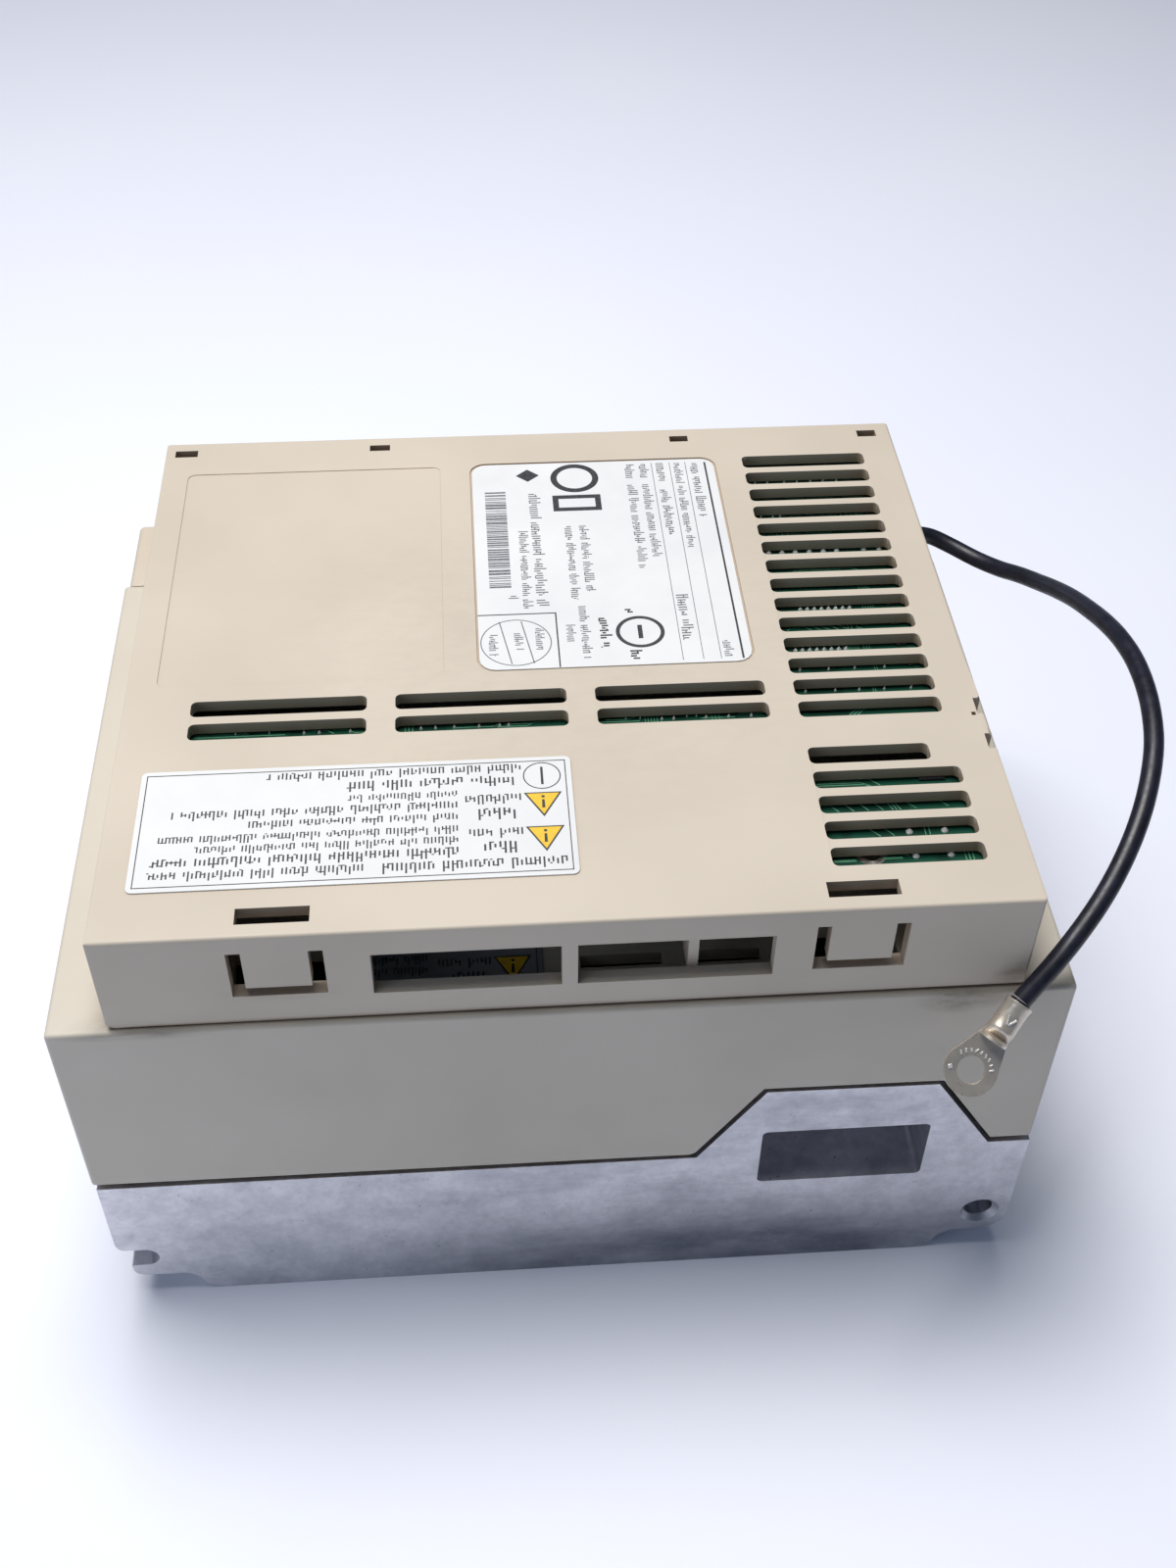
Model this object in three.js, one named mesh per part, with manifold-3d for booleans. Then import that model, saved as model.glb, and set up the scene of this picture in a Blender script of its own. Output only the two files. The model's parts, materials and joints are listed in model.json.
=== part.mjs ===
// A book-style servo drive with a slim interface module on its right side.
// Millimetres, +Z up. The drive lies on its left side: +X is its top, +Y its front, +Z its right side.
// The origin is at the centre of the footprint, on the surface it lies on.
import * as THREE from "three";
import { mergeVertices } from "three/addons/utils/BufferGeometryUtils.js";
import Module from "manifold-3d";

const wasm = await Module();
wasm.setup();

// Driving dimensions of the drive.
const DRIVE = { x: 80, back: -65, front: 65, top: 75 };
const WALL = 2.5;
const JOINT_Z = 33.7;
const JOINT_GAP = 0.5;
const COVER = { x: 79.3, back: 45.5, low: 0.6, high: 74.6, wall: 2.6 };
const HOLE_X = 74.75;
const HOLE_Z = 11.3;

// Driving dimensions of the interface module.
const MOD = { x0: -70.4, x1: 71.6, y0: -64.14, y1: 63.85, low: 75.3, top: 94.9 };
const MOD_WALL = 2.4;
const MOD_ROOF = 92.8;
const MOD_BOARD = { low: 90.7, high: 92.2 };
const BASE_TOP = 76.9;

// Front fittings.
const FLAP = { x0: 38, x1: 72.6, z0: 10, z1: 66, y0: 62.7, y1: 64.7 };
const FLAP_AXIS_Y = 63.7;
const SOCKET_Z = { low: 56.6, high: 65.4 };
const POWER_Z = { low: 8, high: 27 };
const PITCH = 7.35;
const JACKS = [9, 26];
const ROTARY = { x: 52, z: 84.2 };
const DIP = { x: 39.5, z: 84.2, pitch: 2.54, ways: 4 };

// The ground wire's route, from the relief to the terminal's barrel.
const WIRE_R = 1.6;
const ROUTE = [
  [76.45, 48.8, 78.4], [80.0, 49.1, 77.3], [83.8, 47.5, 76.1], [88.2, 43.7, 75.5], [91.5, 38.8, 76.7],
  [93.8, 33.3, 79.3], [95.5, 27.2, 82.2], [96.7, 20.8, 85.4], [97.5, 14.1, 88.6], [98.0, 7.3, 91.5],
  [98.4, 0.3, 94.2], [98.6, -6.7, 96.4], [98.6, -13.7, 97.8], [98.2, -20.6, 98.4], [97.4, -27.3, 98.3],
  [96.1, -33.9, 97.4], [94.0, -40.2, 95.7], [91.3, -46.1, 93.4], [87.9, -51.7, 90.6], [84.0, -56.7, 87.5],
  [79.7, -61.0, 84.2], [75.0, -64.9, 80.8], [69.9, -68.2, 76.4],
];
const TERMINAL = { along: [-0.6, -0.51, -0.616], normal: [-0.075, -0.73, 0.68] };
const RING = { at: 12.9, r: 4.25, hole: 2.2, neck: 2.2 };

const COLOURS = {
  beige: ["#c9c0b1", 0.6, 0],
  cast: ["#a9abb0", 0.5, 0.9],
  board: ["#1f6b4a", 0.5, 0],
  black: ["#1b1b1e", 0.5, 0],
  white: ["#eceae6", 0.6, 0],
  tin: ["#c8c9cb", 0.35, 1],
  green: ["#3f7f5a", 0.6, 0],
  sleeve: ["#27303c", 0.4, 0],
  red: ["#b0281e", 0.4, 0],
  smoke: ["#3a1414", 0.2, 0],
};

// ---- solids -------------------------------------------------------------------------------------

function solid(geometry) {
  const g = geometry.index ? geometry.clone() : geometry;
  g.deleteAttribute("normal");
  g.deleteAttribute("uv");
  const m = mergeVertices(g, 1e-5);
  return new wasm.Manifold(new wasm.Mesh({
    numProp: 3,
    vertProperties: new Float32Array(m.attributes.position.array),
    triVerts: new Uint32Array(m.index.array),
  }));
}

function box(x0, x1, y0, y1, z0, z1) {
  const g = new THREE.BoxGeometry(x1 - x0, y1 - y0, z1 - z0);
  g.translate((x0 + x1) / 2, (y0 + y1) / 2, (z0 + z1) / 2);
  return solid(g);
}

// Turns an extrusion along its local z so that it runs along a named axis, with u and v as the others.
const TURNS = {
  x: new THREE.Matrix4().makeBasis(
    new THREE.Vector3(0, 1, 0), new THREE.Vector3(0, 0, 1), new THREE.Vector3(1, 0, 0)),
  y: new THREE.Matrix4().makeBasis(
    new THREE.Vector3(0, 0, 1), new THREE.Vector3(1, 0, 0), new THREE.Vector3(0, 1, 0)),
  z: new THREE.Matrix4(),
};

// A flat shape pushed from one place to another along x, y or z.
// The shape's own axes are (y, z) for x, (z, x) for y and (x, y) for z.
function slab(shape, axis, from, to, curveSegments = 6) {
  const g = new THREE.ExtrudeGeometry(shape, { depth: to - from, bevelEnabled: false, curveSegments });
  g.translate(0, 0, from);
  g.applyMatrix4(TURNS[axis]);
  return solid(g);
}

function roundRect(u0, u1, v0, v1, r) {
  const s = new THREE.Shape();
  s.moveTo(u0 + r, v0);
  s.lineTo(u1 - r, v0);
  s.absarc(u1 - r, v0 + r, r, -Math.PI / 2, 0);
  s.lineTo(u1, v1 - r);
  s.absarc(u1 - r, v1 - r, r, 0, Math.PI / 2);
  s.lineTo(u0 + r, v1);
  s.absarc(u0 + r, v1 - r, r, Math.PI / 2, Math.PI);
  s.lineTo(u0, v0 + r);
  s.absarc(u0 + r, v0 + r, r, Math.PI, Math.PI * 1.5);
  return s;
}

// A round bar along an axis, centred on the two other coordinates in the shape's own order.
function bar(axis, u, v, r, from, to, sides = 24) {
  const s = new THREE.Shape();
  s.absarc(u, v, r, 0, Math.PI * 2);
  return slab(s, axis, from, to, sides / 2);
}

// A turned piece whose profile [radius, height] pairs stand on a point and rise along a direction.
function turned(profile, at, direction, sides = 24) {
  const g = new THREE.LatheGeometry(profile.map(([r, h]) => new THREE.Vector2(r, h)), sides);
  const turn = new THREE.Quaternion().setFromUnitVectors(
    new THREE.Vector3(0, 1, 0), new THREE.Vector3(...direction).normalize());
  g.applyQuaternion(turn);
  g.translate(...at);
  return solid(g);
}

const join = (pieces) => pieces.reduce((a, b) => a.add(b));
const cut = (piece, tools) => tools.reduce((a, b) => a.subtract(b), piece);

const object = new THREE.Group();

function part(name, piece, colour) {
  const mesh = piece.getMesh();
  const g = new THREE.BufferGeometry();
  g.setAttribute("position", new THREE.BufferAttribute(new Float32Array(mesh.vertProperties), 3));
  g.setIndex(new THREE.BufferAttribute(new Uint32Array(mesh.triVerts), 1));
  g.computeVertexNormals();
  const [color, roughness, metalness] = COLOURS[colour];
  const m = new THREE.Mesh(g, new THREE.MeshStandardMaterial({ color, roughness, metalness }));
  m.name = name;
  object.add(m);
}

// ---- cast heat-sink base ------------------------------------------------------------------------

// Where the boards are held, over cast bosses.
const SPACERS = [[-68, -44], [-68, 36], [68, -44], [68, 36]];

// The back plate's outline, in (z, x): raised middle, two lugs and an open notch.
function backPlateShape() {
  const top = JOINT_Z - JOINT_GAP;
  const notch = 2.45;
  const s = new THREE.Shape();
  s.moveTo(top, -79.4);
  s.lineTo(top, 22);
  s.lineTo(51.1, 32.8);
  s.lineTo(50.9, 61.6);
  s.lineTo(top, 72.6);
  s.lineTo(top, 80);
  s.lineTo(10.3, 80);
  s.absarc(10.3, 75, 5, Math.PI / 2, Math.PI, false);
  s.lineTo(5.3, 71);
  s.quadraticCurveTo(5.1, 68.5, 2.6, 67.6);
  s.quadraticCurveTo(0.2, 66.8, 0, 64);
  s.lineTo(0, -62);
  s.quadraticCurveTo(0.2, -65, 2.8, -65.8);
  s.quadraticCurveTo(5.2, -66.6, 5.5, -69);
  s.lineTo(5.5, -75.5);
  s.absarc(7.5, -75.5, 2, Math.PI, Math.PI * 1.5, false);
  s.lineTo(HOLE_Z - notch, -77.5);
  s.lineTo(HOLE_Z - notch, -HOLE_X);
  s.absarc(HOLE_Z, -HOLE_X, notch, Math.PI, 0, true);
  s.lineTo(HOLE_Z + notch, -77.8);
  s.quadraticCurveTo(HOLE_Z + notch, -79.4, 16.2, -79.4);
  return s;
}

function heatsinkBase() {
  const plate = slab(backPlateShape(), "y", DRIVE.back, -60, 5);
  const spreader = box(-79.4, 79.8, -60.1, 45, 17, 23);
  const walls = [
    box(-79.4, -76.9, -60.1, 45, 22.9, JOINT_Z - JOINT_GAP),
    box(77.3, 79.8, -60.1, 45, 22.9, JOINT_Z - JOINT_GAP),
  ];
  const fins = [];
  const finCount = 13;
  const finPitch = 8.1;
  for (let i = 0; i < finCount; i += 1) {
    const y = -54 + finPitch * i;
    fins.push(box(-64, 65, y, y + 2.2, 0, 17.1));
  }
  const pocketBox = box(30.6, 64.2, -60.1, -47.6, 22.9, 42);
  const pocket = slab(roundRect(24.8, 39.6, 33, 61.8, 1), "y", DRIVE.back - 1, -50, 3);
  const hole = bar("y", HOLE_Z, HOLE_X, 2.6, DRIVE.back - 1, -59, 20);
  const sink = turned([[0, 0], [3.6, 0], [2.6, 1], [0, 1]], [HOLE_X, DRIVE.back, HOLE_Z], [0, 1, 0], 20);
  const feet = [-58, 58].map((x) => box(x - 6, x + 6, 45, 45.4, 17, 23));
  const bosses = SPACERS.map(([x, y]) => bar("z", x, y, 3.2, 22.9, 39.9, 14));
  return cut(join([plate, spreader, ...walls, ...fins, pocketBox, ...feet, ...bosses]), [pocket, hole, sink]);
}

// ---- drive housing ------------------------------------------------------------------------------

// The part of the housing's back wall that the raised middle of the base fills, in (z, x).
function housingStepShape() {
  const low = JOINT_Z + JOINT_GAP;
  const s = new THREE.Shape();
  s.moveTo(low - 5, 21.4);
  s.lineTo(low, 21.4);
  s.lineTo(52.1, 32.2);
  s.lineTo(51.9, 62.2);
  s.lineTo(low - 0.2, 73.2);
  s.lineTo(low - 5, 73.2);
  return s;
}

// Openings in the housing's top wall under the module: [x0, x1, y0, y1].
const LATCH_POCKETS = [
  [-52, -35, -58.5, -50.5], [36, 53, -58.5, -50.5], [2.4, 15.4, -56.4, -53.9], [18.9, 31, -56.4, -53.9],
];

function mainHousing() {
  const low = JOINT_Z + JOINT_GAP;
  const shell = cut(
    box(-DRIVE.x, DRIVE.x, DRIVE.back, 45.2, low, DRIVE.top),
    [box(-DRIVE.x + WALL, DRIVE.x - WALL, DRIVE.back + WALL, 46, low - 1, DRIVE.top - WALL)]);
  const step = slab(housingStepShape(), "y", DRIVE.back - 1, -60, 2);
  const bridgeHole = box(-24, 24, 26, 36, 70, 80);
  const slots = [];
  for (let row = 0; row < 2; row += 1) {
    for (let i = 0; i < 11; i += 1) {
      const y = -52 + 8.2 * i;
      const z = 39.5 + 16 * row;
      slots.push(box(-81, 81, y, y + 3.4, z, z + 12.5));
    }
  }
  const pockets = LATCH_POCKETS.map(([x0, x1, y0, y1]) => box(x0, x1, y0, y1, 70, 80));
  return cut(shell, [step, bridgeHole, ...pockets, ...slots]);
}

function frontCover() {
  const { x, back, low, high, wall } = COVER;
  const front = DRIVE.front;
  const shell = cut(
    box(-x, x, back, front, low, high),
    [box(-x + wall, x - wall, back - 1, front - wall, low + wall, high - wall)]);
  const flapSeat = box(FLAP.x0 - 0.5, FLAP.x1 + 1.6, front - 4, front + 1, FLAP.z0 - 0.5, FLAP.z1 + 0.5);
  const pinSeat = bar("z", FLAP.x1, FLAP_AXIS_Y, 0.9, FLAP.z0 - 2.4, FLAP.z1 + 2.4, 16);
  const powerSeat = box(-70, 27, front - 4, front + 1, POWER_Z.low - 0.5, POWER_Z.high + 0.5);
  const sockets = [[-69, -43], [-37.6, 13.4], [18.6, 34]].map(([a, b]) =>
    slab(roundRect(SOCKET_Z.low - 0.5, SOCKET_Z.high + 0.5, a, b, 1), "y", front - 4, front + 1, 2));
  const monitor = box(16, 26, front - 4, front + 1, 36, 43);
  const lamp = bar("y", 17.5, 33, 1.8, front - 4, front + 1, 16);
  const earth = box(-76.2, -62.6, front - 4, front + 1, 29.6, 47.4);
  const vents = [];
  for (let i = 0; i < 5; i += 1) {
    const z = 18 + 10 * i;
    vents.push(slab(roundRect(49, 58, z, z + 4, 1.2), "x", -82, 82, 2));
  }
  return cut(shell, [flapSeat, pinSeat, powerSeat, ...sockets, monitor, lamp, earth, ...vents]);
}

// ---- front fittings of the drive ----------------------------------------------------------------

const KEYS = [0, 1, 2, 3].map((i) => ({ x: 48, z: 17.5 + 11 * i }));

function operatorPanel() {
  const plate = box(36.9, 74.6, 55.4, 57.4, 8, 68);
  const window = box(57.2, 68.8, 55, 58, 17.2, 54.8);
  const wells = KEYS.map(({ x, z }) => bar("y", z, x, 2.75, 55, 58, 20));
  return cut(plate, [window, ...wells]);
}

function digitDisplay() {
  const body = box(57.5, 68.5, 49.8, 57, 17.5, 54.5);
  const carrier = box(44, 69.5, 48.4, 49.9, 14, 55.5);
  return join([body, carrier]);
}

function key({ x, z }) {
  return turned(
    [[0, 0], [3.6, 0], [3.6, 0.9], [2.5, 0.9], [2.5, 3.9], [2.1, 4.5], [0, 4.7]], [x, 53.9, z], [0, 1, 0], 16);
}

function displayFlap() {
  const { x0, x1, z0, z1, y0, y1 } = FLAP;
  const panel = box(x0, x1, y0, y1, z0, z1);
  const knuckle = bar("z", x1, FLAP_AXIS_Y, 1, z0, z1, 16);
  const pin = bar("z", x1, FLAP_AXIS_Y, 0.7, z0 - 1.8, z1 + 1.8, 16);
  const window = slab(roundRect(17, 55, 56.4, 69.6, 1), "y", y0 - 1, y1 + 1, 3);
  const grip = box(x0 - 1, x0 + 1.6, y1 - 0.9, y1 + 1, 30, 46);
  return cut(join([panel, knuckle, pin]), [window, grip]);
}

function flapWindow() {
  return slab(roundRect(17.05, 54.95, 56.45, 69.55, 1), "y", 63.1, 64.4, 3);
}

const blockWidth = (ways) => PITCH * ways + 2;

// The low ends of the three power plugs, which stand side by side.
const BLOCK_GAP = 0.6;
const LINE_X = 26.6 - blockWidth(5);
const BUS_X = LINE_X - BLOCK_GAP - blockWidth(4);
const MOTOR_X = BUS_X - BLOCK_GAP - blockWidth(3);

// A row of plug-in spring terminals: wire entries below, release slots above.
function terminalBlock(x0, ways) {
  const x1 = x0 + blockWidth(ways);
  const body = box(x0, x1, 46, 64.2, POWER_Z.low, POWER_Z.high);
  const tools = [];
  for (let i = 0; i < ways; i += 1) {
    const x = x0 + 1 + PITCH * (i + 0.5);
    tools.push(box(x - 1.9, x + 1.9, 52, 65, 10.5, 14.4));
    tools.push(box(x - 2.2, x + 2.2, 60.5, 65, 17.5, 19.8));
    tools.push(box(x - 1.2, x + 1.2, 62.5, 65, 22.4, 25));
  }
  return cut(body, tools);
}

// A half-pitch ribbon receptacle: a shell round a long slot with a contact tongue in it.
function ribbonSocket(x0, x1, z0, z1, front, depth) {
  const shell = slab(roundRect(z0, z1, x0, x1, 0.8), "y", front - depth, front, 2);
  const slot = slab(roundRect(z0 + 1.3, z1 - 1.3, x0 + 3, x1 - 3, 0.8), "y", front - 6.5, front + 1, 2);
  const screws = [x0 + 1.5, x1 - 1.5].map((x) => bar("y", (z0 + z1) / 2, x, 0.8, front - 3, front + 1, 10));
  return cut(shell, [slot, ...screws]);
}

function monitorConnector() {
  return cut(box(16.5, 25.5, 50, 64.2, 36.4, 42.6), [box(17.6, 24.4, 60, 65, 37.6, 41.4)]);
}

function chargeLamp() {
  return turned(
    [[0, 0], [1.5, 0], [1.5, 5.2], [1.35, 5.8], [0.9, 6.3], [0, 6.5]], [33, 58.2, 17.5], [0, 1, 0], 16);
}

const EARTH_X = -69.4;
const EARTH_Z = [34.1, 42.9];

function earthPlate() {
  const plate = box(-75.8, -63, 60.2, 62, 30, 47);
  const leg = box(-75.8, -72, 46, 60.3, 30, 33);
  return cut(join([plate, leg]), EARTH_Z.map((z) => bar("y", z, EARTH_X, 2.1, 59, 63, 16)));
}

// A round-headed machine screw with a cross recess; its head stands on the given point.
function screw(at, direction, headR, headH, shankR, shankL) {
  const body = turned([
    [0, -shankL], [shankR, -shankL], [shankR, 0], [headR, 0], [headR, headH * 0.55],
    [headR * 0.8, headH * 0.9], [headR * 0.4, headH], [0, headH],
  ], at, direction, 20);
  const w = headR * 0.11;
  const l = headR * 0.55;
  const d = Math.abs(direction[0]) > 0.5;
  const [x, y, z] = at;
  const tipX = d ? x + Math.sign(direction[0]) * headH : x;
  const tipY = d ? y : y + Math.sign(direction[1]) * headH;
  const deep = headH * 0.55;
  const arms = d
    ? [box(tipX - deep, tipX + deep, y - w, y + w, z - l, z + l),
      box(tipX - deep, tipX + deep, y - l, y + l, z - w, z + w)]
    : [box(x - w, x + w, tipY - deep, tipY + deep, z - l, z + l),
      box(x - l, x + l, tipY - deep, tipY + deep, z - w, z + w)];
  return cut(body, arms);
}

// ---- inside the drive ---------------------------------------------------------------------------

function powerBoard() {
  const board = box(-73, 73, -50, 42, 40, 41.6);
  const corner = box(28, 75, -51, -45.5, 39, 43);
  return cut(board, [corner]);
}

function powerModule() {
  const body = box(-45, 5, -22, 22, 23.1, 34);
  const pins = [];
  for (let i = 0; i < 6; i += 1) {
    const x = -40 + 8 * i;
    pins.push(box(x, x + 1.2, -21, -20, 33.9, 39.8), box(x, x + 1.2, 20, 21, 33.9, 39.8));
  }
  return join([body, ...pins]);
}

function rectifier() {
  const body = box(16, 46, -10, 18, 23.1, 32);
  const pins = [20, 27, 34, 41].map((x) => box(x, x + 1.6, 16, 17, 31.9, 39.8));
  return join([body, ...pins]);
}

function capacitor(x) {
  return turned([
    [0, 0], [10.6, 0], [11, 0.5], [11, 3.4], [10.5, 4], [11, 4.6], [11, 21.6], [10.5, 22.2],
    [9.8, 22.2], [9.6, 21.9], [0, 21.9],
  ], [x, -34, 41.8], [0, 0, 1], 18);
}

function supplyTransformer() {
  const core = box(34, 60, 2, 26, 41.7, 61);
  const coil = bar("x", 14, 51.3, 8.6, 30.5, 63.5, 20);
  const feet = box(32, 62, 4, 24, 41.7, 43.2);
  return join([core, coil, feet]);
}

function relay() {
  return slab(roundRect(-60, -42, -2, 14, 0.6), "z", 41.7, 57, 2);
}

function controlBoard() {
  return box(-74, 74.5, -56, 50, 66, 67.6);
}

function spacer([x, y], low, high) {
  const s = new THREE.Shape();
  for (let i = 0; i < 6; i += 1) {
    const a = (Math.PI / 3) * i;
    const p = [x + 2.9 * Math.cos(a), y + 2.9 * Math.sin(a)];
    if (i) s.lineTo(...p);
    else s.moveTo(...p);
  }
  return slab(s, "z", low, high);
}

function bridge(low, high, grow) {
  return box(-20 - grow, 20 + grow, 28 - grow, 34 + grow, low, high);
}

// ---- interface module ---------------------------------------------------------------------------

// Cooling slots in the module's roof: [x0, x1, centre y, width].
function roofSlots() {
  const slots = [];
  for (let i = 0; i < 14; i += 1) slots.push([40.9, 64.7, 51.55 - 5.5 * i, 3.8]);
  slots.push([40.75, 60.5, -31.06, 3.8]);
  for (let i = 0; i < 4; i += 1) slots.push([40.7, 64.6, -36.7 - 5.58 * i, 3.8]);
  for (const [x0, x1] of [[-59.3, -30.4], [-25.7, 2.7], [7.5, 36]]) {
    slots.push([x0, x1, -14.15, 3.7], [x0, x1, -19.7, 3.8]);
  }
  return slots.map(([x0, x1, y, w]) =>
    slab(roundRect(x0, x1, y - w / 2, y + w / 2, 1), "z", MOD_ROOF - 1, MOD.top + 1, 2));
}

// Small rectangular holes along the roof's two long edges: [x0, x1, y0, y1].
const ROOF_HOLES = [
  [-68.6, -64.3, 59.1, 61.2], [-31.1, -27.2, 59.3, 61.2], [27.6, 31.2, 59.3, 61.2],
  [64.9, 68.6, 59.1, 61.2], [-49, -38, -61.6, -58.5], [39, 50, -61.6, -58.5],
];

// A U-shaped cut round a springy latch tongue in the back wall.
function tongueCut(x0, x1, t0, t1) {
  const y = [MOD.y0 - 1, MOD.y0 + MOD_WALL + 0.5];
  return cut(box(x0, x1, ...y, 81.4, 91.2), [box(t0, t1, y[0] - 1, y[1] + 1, 83.3, 95)]);
}

// What the round lower corner of the back wall leaves out, in (z, x).
function moduleCornerShape() {
  const radius = 1.2;
  const s = new THREE.Shape();
  s.moveTo(MOD.low - 1, MOD.x0 - 1);
  s.lineTo(MOD.low - 1, MOD.x0 + radius);
  s.lineTo(MOD.low, MOD.x0 + radius);
  s.absarc(MOD.low + radius, MOD.x0 + radius, radius, Math.PI, 1.5 * Math.PI, false);
  s.lineTo(MOD.low + radius, MOD.x0 - 1);
  return s;
}

function moduleCover() {
  const { x0, x1, y0, y1, low, top } = MOD;
  const w = MOD_WALL;
  const shell = cut(
    box(x0, x1, y0, y1, low, top),
    [box(x0 + w, x1 - w, y0 + w, y1 - w, low - 1, MOD_ROOF)]);
  const rib = box(18.4, 20, y0 + w - 0.1, -56, 79, MOD_ROOF + 0.1);
  const holes = ROOF_HOLES.map(([a, b, c, d]) => box(a, b, c, d, MOD_ROOF - 1, top + 1));
  const windows = [[-29.5, -1], [1.4, 31.25]].map(([a, b]) => box(a, b, y0 - 1, y0 + w, 80.7, 89.6));
  const tongues = [tongueCut(-50.6, -36.3, -48.4, -38.5), tongueCut(37.35, 51.5, 39.45, 49.35)];
  const ratingSeat = slab(roundRect(-11.9, 35.6, -7.4, 53.7, 3), "z", 94.6, top + 1, 4);
  const blankSeat = slab(roundRect(-65.5, -17.5, -8.4, 53.1, 1.5), "z", 94.75, top + 1, 3);
  const latch = [
    box(x1 - 1.3, x1 + 1, -22.6, -18.8, 91, top + 1),
    box(x1 - 1.3, x1 + 1, -31, -27.5, 91, top + 1),
    box(x1 - 2.3, x1 - 1.6, -23, -22.2, 93.4, top + 1),
  ];
  const corner = slab(moduleCornerShape(), "y", y0 - 1, y0 + 4, 5);
  const jacks = JACKS.map((x) => box(x - 7, x + 7, y1 - w - 0.5, y1 + 1, 77.6, MOD_BOARD.low + 0.3));
  const feedback = box(-52.6, -22.8, y1 - w - 0.5, y1 + 1, 80.2, 89.8);
  const rotary = bar("y", ROTARY.z, ROTARY.x, 4.2, y1 - w - 0.5, y1 + 1, 24);
  const dip = box(DIP.x - 5.4, DIP.x + 5.4, y1 - w - 0.5, y1 + 1, DIP.z - 3.2, DIP.z + 3.2);
  const lamps = [81.6, 86.8].map((z) => bar("y", z, 62, 1.8, y1 - w - 0.5, y1 + 1, 16));
  return cut(shell.add(rib), [
    ...roofSlots(), ...holes, ...windows, ...tongues, ratingSeat, blankSeat, ...latch, corner,
    ...jacks, feedback, rotary, dip, ...lamps,
  ]);
}

const BOSSES = [[-62, -44], [-62, 44], [34, -44], [66, 46]];

function moduleBase() {
  const plate = box(-67.6, 68.8, -48, 61, MOD.low, BASE_TOP);
  const bosses = BOSSES.map(([x, y]) => bar("z", x, y, 2.6, BASE_TOP - 0.1, MOD_BOARD.low - 0.1, 14));
  const hole = box(-22, 22, 26, 36, 70, 80);
  return cut(join([plate, ...bosses]), [hole]);
}

function moduleBoard() {
  const board = box(-66, 67.5, -55, 60, MOD_BOARD.low, MOD_BOARD.high);
  const farGap = box(-62, 38, -13.6, -8, 85, 95);
  const sideGap = box(39, 61, -30.5, -24.4, 85, 95);
  const hole = bar("z", 47.6, -50.6, 1.5, 85, 95, 14);
  return cut(board, [farGap, sideGap, hole]);
}

function networkSocket(x) {
  const body = box(x - 6.6, x + 6.6, 47, 63.6, 78, MOD_BOARD.low - 0.1);
  const mouth = box(x - 5.5, x + 5.5, 52, 64, 79.6, 86);
  const latch = box(x - 2, x + 2, 52, 64, 85.9, 88.4);
  return cut(body, [mouth, latch]);
}

function rotaryBody() {
  const body = box(ROTARY.x - 5, ROTARY.x + 5, 54.5, 60.9, ROTARY.z - 5, ROTARY.z + 5);
  const well = bar("y", ROTARY.z, ROTARY.x, 3.05, 57, 62, 24);
  return cut(body, [well]);
}

function rotaryRotor() {
  const rotor = turned([[0, 0], [2.95, 0], [2.95, 3.9], [2.7, 4.2], [0, 4.2]],
    [ROTARY.x, 57.1, ROTARY.z], [0, 1, 0], 24);
  const blade = box(ROTARY.x - 2, ROTARY.x + 2, 60.3, 62, ROTARY.z - 0.45, ROTARY.z + 0.45);
  const tip = box(ROTARY.x + 1, ROTARY.x + 2, 60.3, 62, ROTARY.z - 0.9, ROTARY.z + 0.9);
  return cut(rotor, [blade, tip]);
}

const dipX = (i) => DIP.x + DIP.pitch * (i - (DIP.ways - 1) / 2);

function dipBody() {
  const body = box(DIP.x - 5.1, DIP.x + 5.1, 55, 61, DIP.z - 2.9, DIP.z + 2.9);
  const wells = [];
  for (let i = 0; i < DIP.ways; i += 1) {
    wells.push(box(dipX(i) - 0.75, dipX(i) + 0.75, 59, 62, DIP.z - 1.7, DIP.z + 1.7));
  }
  return cut(body, wells);
}

function dipSlider(i) {
  return box(dipX(i) - 0.6, dipX(i) + 0.6, 59.1, 61.6, DIP.z - 1.6, DIP.z - 0.2);
}

function lamp(z) {
  return turned([[0, 0], [1.5, 0], [1.5, 5.2], [1.2, 5.9], [0, 6.2]], [62, 57.4, z], [0, 1, 0], 16);
}

function wireRelief() {
  return turned([[0, 0], [2.9, 0], [2.9, 1], [2.5, 1.2], [2, 4.2], [0, 4.2]],
    [MOD.x1 + 0.1, ROUTE[0][1], ROUTE[0][2]], [1, 0, 0], 20);
}

// ---- ground wire and its terminal ---------------------------------------------------------------

function groundWire() {
  const curve = new THREE.CatmullRomCurve3(ROUTE.map((p) => new THREE.Vector3(...p)), false, "centripetal");
  const section = new THREE.Shape();
  section.absarc(0, 0, WIRE_R, 0, Math.PI * 2);
  const g = new THREE.ExtrudeGeometry(section, { steps: 30, curveSegments: 4, extrudePath: curve });
  return solid(g);
}

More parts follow.
